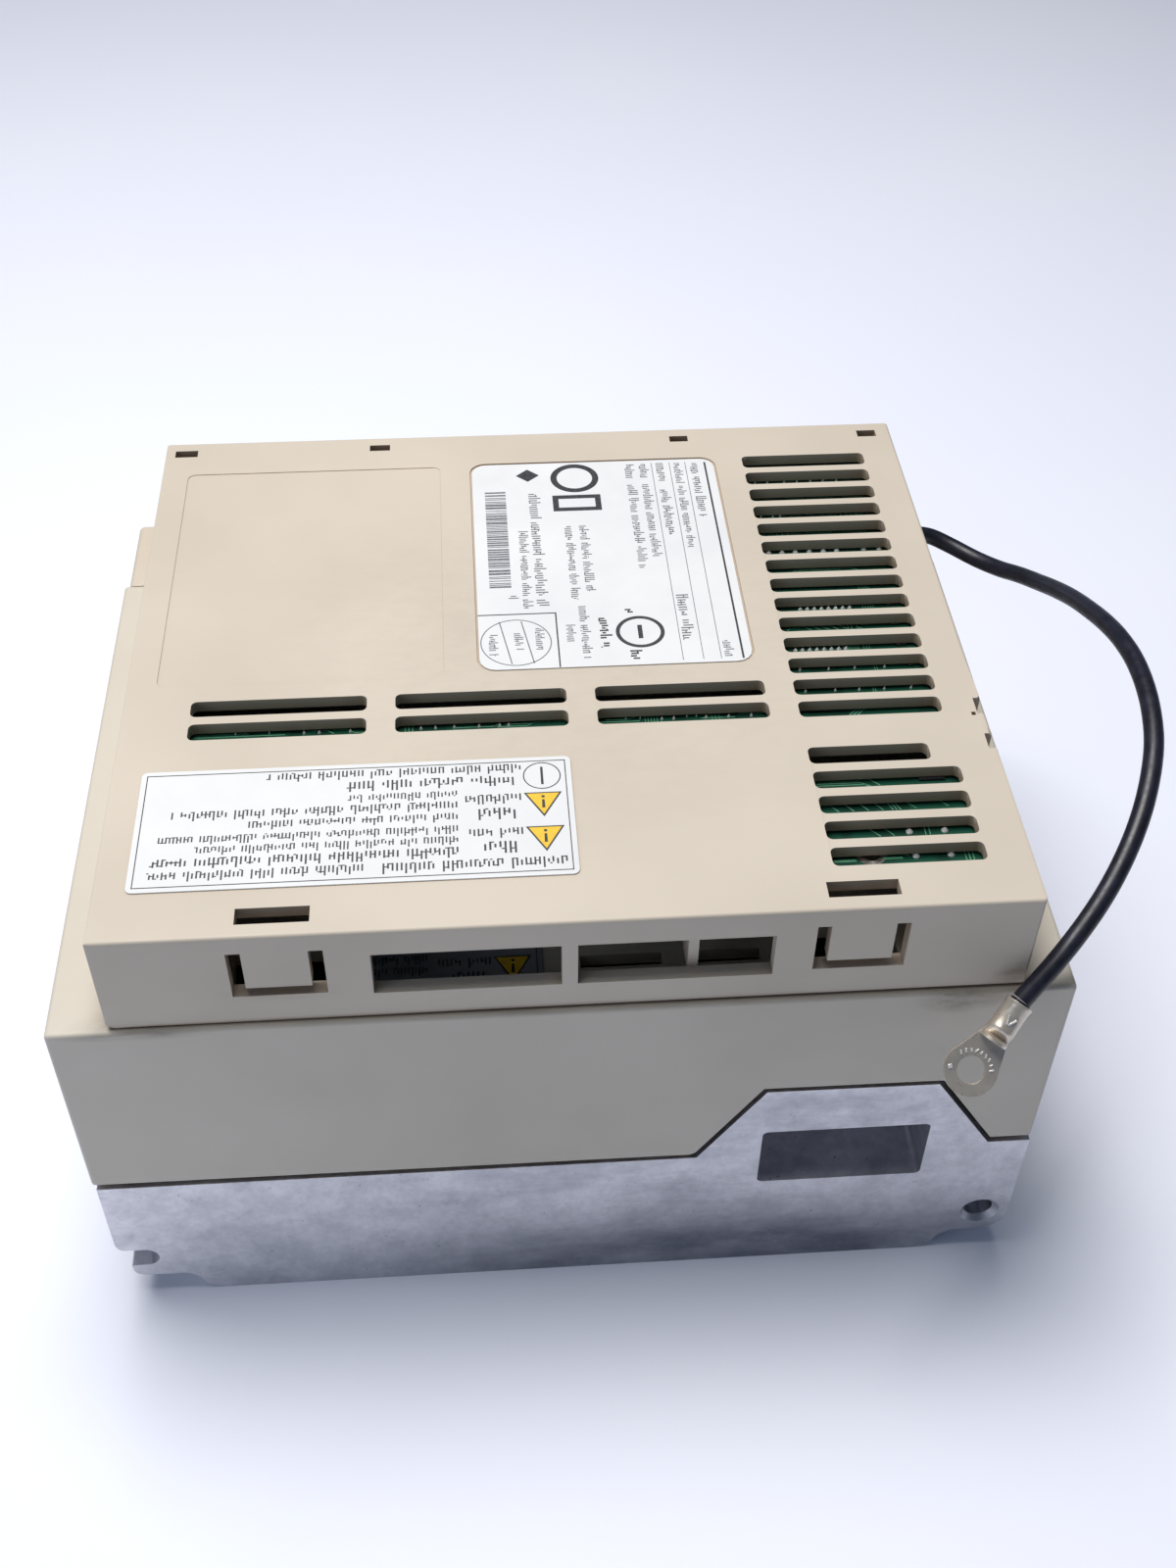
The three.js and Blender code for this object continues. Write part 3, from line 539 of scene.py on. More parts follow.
def smooth_path(points):
    """A centripetal Catmull-Rom curve through the points."""
    p = [Vector(q) for q in points]
    p = [p[0] * 2 - p[1], *p, p[-1] * 2 - p[-2]]
    line = []
    for i in range(1, len(p) - 2):
        a, b, c, d = p[i - 1:i + 3]
        t0 = 0.0
        t1 = t0 + (b - a).length ** 0.5
        t2 = t1 + (c - b).length ** 0.5
        t3 = t2 + (d - c).length ** 0.5
        for k in range(STEPS):
            t = t1 + (t2 - t1) * k / STEPS
            a1 = a * ((t1 - t) / (t1 - t0)) + b * ((t - t0) / (t1 - t0))
            a2 = b * ((t2 - t) / (t2 - t1)) + c * ((t - t1) / (t2 - t1))
            a3 = c * ((t3 - t) / (t3 - t2)) + d * ((t - t2) / (t3 - t2))
            b1 = a1 * ((t2 - t) / (t2 - t0)) + a2 * ((t - t0) / (t2 - t0))
            b2 = a2 * ((t3 - t) / (t3 - t1)) + a3 * ((t - t1) / (t3 - t1))
            line.append(b1 * ((t2 - t) / (t2 - t1)) + b2 * ((t - t1) / (t2 - t1)))
    line.append(p[-2])
    return line


def tube(bm, line, radius, sides=20):
    """A closed round tube along a line of points, without twist."""
    ahead = (line[1] - line[0]).normalized()
    across = ahead.orthogonal().normalized()
    rings = []
    for i, p in enumerate(line):
        turn_to = (line[min(i + 1, len(line) - 1)] - line[max(i - 1, 0)]).normalized()
        across = ahead.rotation_difference(turn_to) @ across
        ahead = turn_to
        other = ahead.cross(across)
        rings.append([
            bm.verts.new(p + radius * (across * c + other * s)) for c, s in circle(0, 0, 1, sides)])
    add_skin(bm, rings)


def ground_wire():
    """The wire's jacket; gives the piece, its middle line and that line's length."""
    line = [p * MM for p in smooth_path(ROUTE)]
    bm = bmesh.new()
    tube(bm, line, WIRE_DIAMETER / 2)
    wire = piece("ground_wire_jacket", mesh_of(bm, "ground_wire_jacket", 60), VINYL, ROOT,
                 ("ground_wire",))
    length = sum((b - a).length for a, b in zip(line, line[1:]))
    return wire, line, length


def terminal_place():
    """Maps the terminal's own (along, across, up) millimetres to the frame."""
    side = TERMINAL_NORMAL.cross(TERMINAL_ALONG).normalized()
    up = TERMINAL_ALONG.cross(side)
    start = Vector(ROUTE[-1]) + TERMINAL_ALONG * 0.5
    place = Matrix((TERMINAL_ALONG, side, up)).transposed().to_4x4()
    return Matrix.Scale(MM, 4) @ Matrix.Translation(start) @ place


RING_AT, RING_R, RING_HOLE = 12.9, 4.25, 2.2
# The plate's underside and top.
PLATE = (-1.4, -0.6)
# The barrel, from its mouth to the flat neck: (place along, half width, height over the middle).
BARREL = (
    (0.0, 2.28, 2.2), (0.3, 2.3, 2.24), (0.7, 2.2, 2.12), (1.3, 2.18, 2.05), (1.9, 2.18, 1.9),
    (2.5, 2.2, 1.8), (3.3, 2.22, 1.78), (4.1, 2.22, 1.85), (4.7, 2.24, 2.02), (5.1, 2.26, 2.1),
    (5.35, 2.24, 1.95), (5.8, 2.2, 1.35), (6.3, 2.2, 0.5), (6.8, 2.24, -0.2), (7.3, 2.32, -0.58),
)


def ring_terminal():
    """A crimped ring terminal: a stamped plate with a round eye, and a barrel that runs onto it."""
    bm = bmesh.new()
    lean = 1.95
    ring = [(RING_AT + RING_R * math.cos(a), RING_R * math.sin(a))
            for a in (-lean + 2 * lean * i / 40 for i in range(41))]
    outline = [(3.8, -1.8), (6.2, -2.2), *ring, (6.2, 2.2), (3.8, 1.8)]
    eye = circle(RING_AT, 0, RING_HOLE, 36)
    flat = [[Vector((u, v, 0)) for u, v in loop] for loop in (outline, eye)]
    loops = []
    for w in PLATE:
        out, hole = ([bm.verts.new((u, v, w)) for u, v in loop] for loop in (outline, eye))
        loops.append((out, hole))
        for tri in tessellate_polygon(flat):
            bm.faces.new([[*out, *hole][i] for i in tri])
    for low, high in zip(*loops):
        add_wall(bm, low, high)
    barrel(bm)
    bm.transform(terminal_place())
    o = piece("ring_terminal_shape", mesh_of(bm, "ring_terminal_shape", 40), DULL_TIN, ROOT,
              ("ring_terminal",))
    round_edges(o, 0.16)
    return o


def barrel(bm):
    """The terminal's barrel: hollow at its mouth, a crimp dent on top, sloping to the plate."""
    def height(lift, high):
        if lift > 0 and high > 0:
            return high * lift
        under = max(2.1 * lift, PLATE[0] - 0.02)
        return max(high, under) if lift > 0 else under

    mouth = ((1.2, 1.62), (0.0, 1.7))
    rings = [[bm.verts.new((u, *p)) for p in circle(0, 0, r, 28)] for u, r in mouth]
    for u, wide, high in BARREL:
        rings.append([bm.verts.new((u, wide * c, height(s, high))) for c, s in circle(0, 0, 1, 28)])
    add_skin(bm, rings)


def stamped_marks():
    """Small raised plain bars round the eye, a square beside it and two bars on the barrel."""
    def build(bm):
        draw = random.Random(3)
        top = PLATE[1]

        def bar(u, v, turn, long, wide, low, high):
            corners = ((-long, -wide), (long, -wide), (long, wide), (-long, wide))
            outline = turned_outline(u, v, turn, corners)
            add_skin(bm, [[bm.verts.new((a, b, w)) for a, b in outline] for w in (low, high)])

        for i in range(9):
            turn = math.radians(243 - 15 * i)
            bar(RING_AT + 3.2 * math.cos(turn), 3.2 * math.sin(turn), turn + draw.uniform(-0.6, 0.6),
                draw.uniform(0.26, 0.4), 0.12, top - 0.05, top + 0.16)
        bar(RING_AT + 1.3, -3.0, 0.8, 0.32, 0.32, top - 0.05, top + 0.14)
        for v, turn in ((-0.45, 0.35), (0.4, -0.5)):
            bar(3.2, v, turn, 0.75, 0.13, 1.5, 1.95)
        bm.transform(terminal_place())

    return solids("ring_terminal_marks", SOLDER, build, round_mm=0.04)


def insulation_step():
    """The short ring of jacket that is pushed into the barrel's mouth."""
    start = terminal_place() @ Vector((-0.35, 0, 0))
    end = terminal_place() @ Vector((0.9, 0, 0))
    bm = bmesh.new()
    tube(bm, [start.lerp(end, i / 4) for i in range(5)], 1.66 * MM, 24)
    return piece("ground_wire_step", mesh_of(bm, "ground_wire_step", 50), VINYL)


wire, wire_line, wire_length = ground_wire()
terminal = [ring_terminal(), stamped_marks(), insulation_step()]


# ---- every CAD piece, with rounded edges and its own finish ------------------

FINISH = {
    "cast_aluminium": CAST, "beige_plastic": BEIGE, "black_plastic": BLACK, "white_plastic": WHITE,
    "green_plastic": GREEN, "circuit_board": BOARD, "display_plastic": DIGITS, "smoke_window": WINDOW,
    "lamp_red": RED, "lamp_green": LAMP_GREEN, "capacitor_sleeve": SLEEVE, "steel_plated": STEEL,
    "tin_plated": TIN, "label_film": LABEL, "wire_jacket": VINYL,
}
EDGE_WIDTHS = {
    "heatsink_base": 0.45, "main_housing": 0.4, "front_cover": 0.4, "module_cover": 0.4,
    "display_flap": 0.3, "operator_panel": 0.2, "power_module": 0.4, "rectifier_bridge": 0.4,
    "supply_transformer": 0.4, "inrush_relay": 0.4,
    "rating_label": 0, "caution_label": 0, "housing_label": 0,
}
DEFAULT_EDGE = 0.15
OUTER_EDGES = {"module_cover": 0.55, "main_housing": 0.7, "front_cover": 0.9}
MADE_HERE = ("ground_wire", "ring_terminal")
OWN_FINISH = {"main_housing": BODY_BEIGE, "module_cover": MODULE_BEIGE, "housing_label": SHADED_LABEL}

for node in sorted(frame["nodes"]):
    if node not in MADE_HERE:
        finish = OWN_FINISH.get(node, FINISH[node_slot[node]])
        refine(node, finish, EDGE_WIDTHS.get(node, DEFAULT_EDGE), OUTER_EDGES.get(node, 0))


# ---- print on the labels -----------------------------------------------------

PRINT = 0.03


def text_bars(bm, place, a0, a1, b0, b1, seed, weight=0.13):
    """Greeked text: words of fine upright ticks of uneven height that spell nothing.

    place(bm, a0, a1, b0, b1) adds one bar; a runs along the line and b down it.
    """
    draw = random.Random(seed)
    tall = b1 - b0
    pitch, stem = tall * 0.31, tall * weight
    a = a0
    ticks = draw.randint(6, 14)
    while a + pitch <= a1:
        if ticks == 0:
            ticks = draw.randint(5, 16)
            a += pitch * 1.3
            continue
        top = b0 + tall * draw.choice((0, 0.26, 0.3, 0.34, 0.5))
        place(bm, a, a + stem, top, b1 - tall * draw.choice((0, 0, 0.06, 0.2)))
        if draw.random() < 0.5 and ticks > 1:
            level = b0 + tall * draw.choice((0.34, 0.62, 0.9))
            place(bm, a + stem, a + pitch, level, level + stem * 0.7)
        a += pitch
        ticks -= 1


def rating_print():
    """The rating label's print: it reads towards -Y, with +X up, in places of (-y, -x)."""
    top = box_mm("rating_label")[1][2]

    def place(bm, a0, a1, b0, b1):
        add_box(bm, -b1, -b0, -a1, -a0, top - PRINT, top + PRINT)

    def shape(bm, points):
        add_prism(bm, [(-b, -a) for a, b in points], top - PRINT, top + PRINT)

    def bold(bm):
        place(bm, -52.1, 6.3, -33.7, -33.35)
        place(bm, -7.75, -7.5, -2.25, 11.5)
        place(bm, -7.5, 6.9, -2.25, -2.0)
        shape(bm, band(-48.1, -8.05, 4.6, 3.4))
        place(bm, -42.6, -37.6, -12.6, -11.5)
        place(bm, -42.6, -37.6, -4.6, -3.5)
        place(bm, -42.6, -41.5, -11.5, -4.6)
        place(bm, -38.7, -37.6, -11.5, -4.6)
        shape(bm, band(-1.7, -16.5, 4.25, 3.55))
        place(bm, -3.5, 0.1, -16.9, -16.1)
        text_bars(bm, place, -8.0, -6.4, -16.4, -14.3, 1, 0.18)
        text_bars(bm, place, 3.2, 5.9, -16.4, -14.3, 2, 0.18)
        text_bars(bm, place, -5.8, 2.3, -11.6, -9.5, 3, 0.18)
        shape(bm, [(-49.4, -1.3), (-47.4, 0.9), (-49.4, 3.1), (-51.4, 0.9)])

    def fine(bm):
        for b in (-29.8, -26.75, -23.25):
            place(bm, -52.3, 6.2, b, b + 0.12)
        lines = (
            (-51.8, -34.2, -32.6, -30.6), (1.5, 6.0, -32.2, -30.4), (-52.0, -24.6, -29.1, -27.4),
            (-52.2, -44.8, -26.0, -24.0), (-43.4, -27.8, -26.0, -24.0), (-11.5, 1.4, -25.9, -23.7),
            (-52.0, -47.2, -22.6, -20.7), (-45.3, -22.5, -22.6, -20.7), (-52.0, -47.2, -19.8, -17.9),
            (-45.3, -18.9, -19.8, -17.9), (-32.8, -13.0, -9.7, -7.9), (-32.8, -10.8, -7.0, -5.2),
            (-9.2, 5.2, -8.0, -6.2), (-4.2, 0.6, -5.4, -3.7), (-43.4, -9.2, -1.2, 1.0),
            (-31.7, -8.6, 1.6, 3.4), (-12.8, -11.2, 4.1, 5.9),
        )
        for i, line in enumerate(lines):
            text_bars(bm, place, *line, 10 + i)
        shape(bm, band(0.0, 5.1, 6.15, 5.97))
        for lift in (-1.9, 1.9):
            shape(bm, [(-5.6, lift + 6.0), (5.6, lift + 4.2), (5.6, lift + 4.0), (-5.6, lift + 5.8)])
        for a0, a1, b in ((-3.6, 2.6, 0.9), (-2.2, 3.6, 9.0), (-2.4, 2.6, 4.6)):
            text_bars(bm, place, a0, a1, b - 0.8, b + 0.8, int(b * 10))

    def barcode(bm):
        draw = random.Random(5)
        a = -44.3
        while a < -15.6:
            wide = draw.choice((0.22, 0.22, 0.45, 0.62))
            place(bm, a, a + wide, 5.3, 9.2)
            a += wide + draw.choice((0.24, 0.24, 0.48))

    solids("rating_print_bold", INK, bold)
    solids("rating_print_fine", INK_GREY, fine)
    solids("rating_barcode", INK_GREY, barcode)


def notice_print(node, prefix):
    """A notice's print, reading towards -X: plain triangles, a plain round mark and greeked rows.

    The smaller notice shows only the start of it.
    """
    low, high = box_mm(node)
    top = high[2]
    wide, deep = high[0] - low[0], high[1] - low[1]
    whole = deep > 25
    shift = 0 if whole else 3.7
    left, near = high[0], low[1] - shift
    triangles = (4.9, 12.3) if whole else (4.9,)

    def place(bm, a0, a1, b0, b1):
        add_box(bm, left - a1, left - a0, near + b0, near + b1, top - PRINT, top + PRINT)

    def outline(bm, points, up=PRINT):
        add_prism(bm, [(left - a, near + b) for a, b in points], top - PRINT, top + up)

    def black(bm):
        edge, line = 0.85, 0.16
        for a0, a1, b0, b1 in (
            (edge, wide - edge, edge, edge + line), (edge, wide - edge, deep - edge - line, deep - edge),
            (edge, edge + line, edge, deep - edge), (wide - edge - line, wide - edge, edge, deep - edge),
        ):
            place(bm, a0, a1, b0 + shift, b1 + shift)
        for b in triangles:
            outline(bm, [(4.75, b), (1.75, b + 5.35), (7.75, b + 5.35)])
        if whole:
            outline(bm, band(4.7, 21.4, 3.0, 2.82))
        rows = (
            (1.7, 30.6, 1.6, 3.8), (32.6, 65.0, 1.9, 3.9), (9.3, 16.2, 4.9, 7.4), (8.2, 17.6, 8.1, 10.2),
            (18.2, 65.2, 4.4, 6.6), (18.2, 58.8, 7.1, 8.9), (18.2, 65.0, 9.4, 11.2),
            (9.2, 15.9, 12.1, 14.6), (8.2, 17.6, 15.5, 17.6), (18.2, 51.6, 12.0, 13.9),
            (18.2, 63.2, 14.5, 16.5), (18.2, 35.8, 17.0, 18.8), (9.2, 36.0, 19.5, 21.8),
            (8.0, 48.2, 22.3, 24.3),
        )
        for i, row in enumerate(rows):
            if row[0] < wide - 8 and shift + 0.9 < row[2] and row[3] < deep + shift - 1:
                text_bars(bm, place, row[0], min(row[1], wide - 2), row[2], row[3], 40 + i)

    def yellow(bm):
        for b in triangles:
            outline(bm, [(4.75, b + 0.55), (2.2, b + 5.08), (7.3, b + 5.08)], PRINT * 2)

    def signs(bm):
        for b in triangles:
            outline(bm, [(4.5, b + 1.9), (5.0, b + 1.9), (4.95, b + 3.7), (4.55, b + 3.7)], PRINT * 3)
            outline(bm, arc(4.75, b + 4.35, 0.28, 0, 340, 10), PRINT * 3)
        if whole:
            outline(bm, rounded(4.5, 4.9, 19.4, 23.4, 0.15))

    solids(prefix + "_print", INK, black)
    solids(prefix + "_triangles", INK_YELLOW, yellow)
    solids(prefix + "_signs", INK, signs)


rating_print()
notice_print("caution_label", "caution")
notice_print("housing_label", "housing")


# ---- solder side of the interface board, seen through the slots --------------

BOARD_TOP = box_mm("module_board")[1][2]
COPPER = 0.05
SUNK = 0.02
PIN_PITCH = 1.27


def trace(bm, points, width):
    """A copper track along points in (x, y), as one closed bar for each straight run."""
    for (x0, y0), (x1, y1) in zip(points, points[1:]):
        along = Vector((x1 - x0, y1 - y0)).normalized() * width / 2
        across = Vector((-along.y, along.x))
        ends = [Vector((x0, y0)) - along * 0.6, Vector((x1, y1)) + along * 0.6]
        corners = [ends[0] - across, ends[1] - across, ends[1] + across, ends[0] + across]
        add_prism(bm, [tuple(c) for c in corners], BOARD_TOP - SUNK, BOARD_TOP + COPPER)


def solder_dome(bm, x, y, radius):
    """A solder joint: a low dome with a cut-off lead in its middle."""
    rings = []
    for lift, share in ((-SUNK, 1.0), (0.12, 0.92), (0.3, 0.66), (0.42, 0.4), (0.5, 0.32)):
        around = circle(x, y, radius * share, 12)
        rings.append([bm.verts.new(mm(*p, BOARD_TOP + lift)) for p in around])
    add_skin(bm, rings)


# Rows of solder joints as (y, radius, x places).
JOINT_ROWS = (
    (48.2, 0.3, (43.1, 45.5, 48.8, 51.3, 53.9, 56.4, 59.0)),
    (37.2, 0.28, (42.7, 45.0, 46.4)),
    (26.0, 0.55, (42.6, 45.1, 47.6, 50.2, 52.8, 55.3)), (26.35, 0.6, (60.4, 63.3)),
    (9.2, 0.4, tuple(45.9 + PIN_PITCH * i for i in range(8))),
    (-1.95, 0.4, tuple(43.3 + PIN_PITCH * i for i in range(8))),
    (-7.1, 0.26, (43.3, 48.3, 52.8, 58.0)),
    (-12.7, 0.26, (43.4, 48.5, 52.6, 56.9, 61.5)),
    (-46.3, 0.6, (54.5, 60.1)),
    (-51.5, 0.6, (54.5, 60.0)),
    (-18.1, 0.28, (
        -40.8, -38.3, -33.2, -21.6, -19.2, -16.1, -12.0, -8.6, -7.1, 18.4, 20.4, 25.8, 29.6, 33.4)),
    (-17.7, 0.16, (-52.0, -46.5, 12.4, 14.8, 22.6, 24.2)),
)


def board_joints(bm):
    for y, radius, places in JOINT_ROWS:
        for x in places:
            solder_dome(bm, x, y, radius)


# What shows of the board's tracks through each slot, as (slot centre y, width, runs of (x, share)):
# the share is how far from the strip's near side a point lies.
BOARD_TRACKS = (
    (18.55, 0.2, (
        ((46.4, 0.1), (47.4, 0.7), (57.0, 0.7), (58.2, 0.1)), ((47.2, 0.0), (48.0, 0.4), (55.0, 0.4)),
    )),
    (2.05, 0.17, (
        ((42.7, 0.1), (43.3, 0.6), (45.0, 0.6)), ((45.6, 1.0), (47.0, 0.1)), ((47.2, 1.0), (48.6, 0.1)),
        ((48.8, 1.0), (50.2, 0.1)), ((50.4, 1.0), (51.8, 0.1)), ((52.0, 1.0), (53.4, 0.1)),
        ((55.2, 0.9), (55.2, 0.2), (56.0, 0.2)), ((56.0, 0.9), (57.2, 0.9)),
    )),
    (-19.95, 0.2, (
        ((49.9, 0.05), (51.3, 0.95)), ((50.6, 0.05), (52.0, 0.95)), ((51.3, 0.05), (52.7, 0.95)),
    )),
    (-36.7, 0.2, (
        ((41.0, 0.25), (49.4, 0.25), (50.0, 0.0)), ((41.0, 0.5), (48.8, 0.5), (50.3, 0.0)),
        ((41.0, 0.75), (48.2, 0.75), (49.0, 0.95), (50.2, 0.95), (51.8, 0.1)),
    )),
    (-42.28, 0.18, (
        ((41.4, 0.9), (43.0, 0.9), (44.2, 0.1)), ((45.4, 0.95), (46.6, 0.1)), ((47.8, 0.95), (49.0, 0.1)),
        ((50.2, 0.95), (51.3, 0.1)), ((55.4, 0.9), (56.6, 0.2)), ((60.8, 0.9), (61.8, 0.3)),
        ((52.2, 0.95), (52.9, 0.1)), ((52.8, 0.95), (53.5, 0.1)), ((53.4, 0.95), (54.1, 0.1)),
    )),
    (-47.86, 0.18, (((48.4, 0.9), (49.8, 0.1)), ((50.8, 0.9), (52.0, 0.1)))),
    (-53.44, 0.5, (((41.2, 0.45), (45.0, 0.45)), ((49.4, 0.55), (52.2, 0.55)))),
    (-53.44, 0.16, (((41.2, 0.95), (45.4, 0.95)), ((49.2, 0.95), (52.8, 0.95), (53.4, 0.7)))),
    (-19.7, 0.18, (
        ((-58.6, 0.3), (-44.0, 0.3)), ((-58.6, 0.7), (-50.0, 0.7)),
        ((-40.4, 0.7), (-37.0, 0.7), (-36.0, 0.2)),
        ((-36.0, 0.8), (-33.8, 0.8), (-32.6, 0.2), (-31.0, 0.2)),
        ((-16.0, 0.3), (-9.4, 0.3), (-8.6, 0.8)),
        ((-9.0, 0.2), (-4.0, 0.2), (-3.0, 0.7), (2.4, 0.7)), ((-7.6, 0.55), (-3.6, 0.55)),
        ((8.0, 0.25), (14.6, 0.25)), ((9.0, 0.6), (13.0, 0.6), (13.8, 0.95)), ((25.0, 0.3), (30.6, 0.3)),
        ((31.4, 0.8), (35.6, 0.8)),
    )),
)
# Rows of short side-by-side tracks, as (slot centre y, first x, last x, how many).
TRACK_ROWS = (
    (13.05, 57.4, 59.2, 5), (7.55, 57.2, 59.1, 5), (2.05, 53.6, 54.2, 2), (-3.45, 51.9, 54.4, 7),
    (-3.45, 55.4, 56.4, 3), (-8.95, 56.3, 56.7, 2), (-14.45, 55.0, 55.4, 2), (-47.86, 57.0, 57.7, 2),
    (-53.44, 62.2, 63.4, 3), (-19.7, 15.6, 17.6, 5), (-19.7, 26.8, 28.0, 3), (-19.7, -24.2, -23.0, 3),
    (29.55, 45.0, 47.0, 3), (35.05, 58.0, 61.0, 4),
)


def on_board(slot_y, share):
    """The y of a point on the board at that share of what shows through a slot."""
    near = 1.3 + 0.0133 * slot_y
    return slot_y + near + (2.55 - near) * share


def board_tracks(bm):
    for slot_y, width, runs in BOARD_TRACKS:
        for run in runs:
            trace(bm, [(x, on_board(slot_y, share)) for x, share in run], width)
    for slot_y, first, last, count in TRACK_ROWS:
        for i in range(count):
            x = first + (last - first) * i / (count - 1)
            trace(bm, [(x, on_board(slot_y, 0.05)), (x, on_board(slot_y, 0.95))], 0.16)
    draw = random.Random(11)
    for slot_y in (46.05, 40.55, 35.05, 29.55):
        x = 41.5
        while x < 62:
            run = draw.uniform(1.5, 5.0)
            trace(bm, [(x, on_board(slot_y, 0.6)), (x + run, on_board(slot_y, 0.6))], 0.2)
            x += run + draw.uniform(0.6, 2.0)


def board_ring(bm):
    """The bare ring round the board's screw hole."""
    add_prism(bm, band(47.6, -50.6, 2.5, 1.55), BOARD_TOP - SUNK, BOARD_TOP + 0.03)


def board_chips(bm):
    """Small chips on the solder side, under 1 mm high."""
    for x, y, wide, deep in (
        (62.2, 15.4, 1.6, 0.9), (62.2, 10.0, 1.6, 1.2), (62.0, 4.4, 1.6, 1.0), (62.0, -1.2, 1.9, 1.1),
        (62.6, -6.6, 0.9, 1.3), (60.4, -34.6, 4.2, 1.4), (-29.0, -17.9, 1.2, 0.8), (3.0, -17.8, 1.2, 0.8),
    ):
        z = BOARD_TOP
        add_box(bm, x - wide / 2, x + wide / 2, y - deep / 2, y + deep / 2, z - SUNK, z + 0.5)


solids("interface_joints", SOLDER, board_joints)
solids("interface_tracks", TRACE, board_tracks)
solids("interface_hole_ring", TIN, board_ring)
solids("interface_chips", BLACK, board_chips, round_mm=0.08)


# ---- parts on the boards -----------------------------------------------------

solids("plug_insulator", BLACK, lambda bm: add_box(bm, -74, 29, 45.55, 45.95, 5, 29))


def chips(bm, face, places):
    """Chips on a board's face, as (x, y, length, width, height); below 0 the height hangs down."""
    for x, y, long, wide, tall in places:
        z0, z1 = sorted((face + math.copysign(0.12, tall), face + tall))
        add_box(bm, x - long / 2, x + long / 2, y - wide / 2, y + wide / 2, z0, z1)


def leads(bm, face, places):
    """The two rows of leads along each chip's long sides."""
    for x, y, long, wide, tall in places:
        count = int(long / PIN_PITCH)
        z0, z1 = sorted((face, face + tall / 2))
        for i in range(count):
            at = x - long / 2 + (i + 0.5) * long / count
            for y0 in (y - wide / 2 - 0.9, y + wide / 2):
                add_box(bm, at - 0.2, at + 0.2, y0, y0 + 0.9, z0, z1)


CONTROL_TOP = box_mm("control_board")[1][2]
CONTROL_CHIPS = (
    (-52, -30, 18, 12, 2.6), (-24, -34, 14, 14, 2.4), (4, -30, 20, 10, 2.6), (34, -36, 12, 8, 2.2),
    (58, -28, 14, 8, 2.2), (-50, 6, 16, 8, 2.2), (40, 2, 14, 14, 2.4), (-44, 26, 12, 6, 2.0),
)
INTERFACE_LOW = box_mm("module_board")[0][2]
INTERFACE_CHIPS = (
    (-44, -36, 16, 10, -2.4), (-16, -30, 20, 20, -2.6), (16, -40, 14, 8, -2.2), (52, 14, 10, 16, -2.2),
    (-46, 4, 18, 8, -2.2), (2, 4, 22, 10, -2.4), (52, -12, 12, 8, -2.2), (-10, -50, 12, 4, -1.8),
)

solids("control_chips", BLACK, lambda bm: chips(bm, CONTROL_TOP, CONTROL_CHIPS), round_mm=0.15)
solids("control_leads", TIN, lambda bm: leads(bm, CONTROL_TOP, CONTROL_CHIPS))
solids("interface_part_chips", BLACK, lambda bm: chips(bm, INTERFACE_LOW, INTERFACE_CHIPS), round_mm=0.15)
solids("interface_part_leads", TIN, lambda bm: leads(bm, INTERFACE_LOW, INTERFACE_CHIPS))


def capacitor_tops():
    """The bare aluminium ends of the main capacitors, with their scored vents."""
    for i in (1, 2, 3):
        node = f"bus_capacitor_{i}"
        x, y, _ = centre_mm(node)

        def build(bm, x=x, y=y, top=box_mm(node)[1][2]):
            add_prism(bm, circle(x, y, 8.6, 36), top - 0.1, top + 0.15)
            for turn in (0, 60, 120):
                arm = ((-5, -0.18), (5, -0.18), (5, 0.18), (-5, 0.18))
                add_prism(bm, turned_outline(x, y, math.radians(turn), arm), top + 0.1, top + 0.26)

        solids(node + "_end", TIN, build)


capacitor_tops()


# ---- what fills the connectors -----------------------------------------------

def ribbon_contacts(node):
    """The contact tongue inside a ribbon receptacle, with its two rows of gold contacts."""
    low, high = box_mm(node)
    x0, x1 = low[0] + 6, high[0] - 6
    middle = centre_mm(node)[2]
    back, front = high[1] - 6.6, high[1] - 1.6
    body = node_body[node]

    def tongue(bm):
        add_box(bm, x0, x1, back, front, middle - 0.8, middle + 0.8)

    solids(node + "_tongue", BLACK, tongue, body, round_mm=0.15)

    def gold(bm):
        count = int((x1 - x0 - 0.6) / PIN_PITCH)
        for i in range(count):
            x = (x0 + x1) / 2 + (i - (count - 1) / 2) * PIN_PITCH
            for z0, z1 in ((middle - 0.95, middle - 0.75), (middle + 0.75, middle + 0.95)):
                add_box(bm, x - 0.28, x + 0.28, back, front - 0.4, z0, z1)

    solids(node + "_contacts", GOLD, gold, body)

    def shell(bm):
        inner = rounded(low[0] + 3.0, high[0] - 3.0, low[2] + 1.3, high[2] - 1.3, 0.8)
        outer = rounded(low[0] + 2.7, high[0] - 2.7, low[2] + 1.0, high[2] - 1.0, 1.0)
        add_prism(bm, [*outer, outer[0], inner[0], *inner[:0:-1]], high[1] - 0.02, high[1] + 0.12, "xzy")

    solids(node + "_rim", STEEL, shell, body)


for node in ("io_connector", "encoder_connector", "operator_connector", "feedback_socket"):
    ribbon_contacts(node)


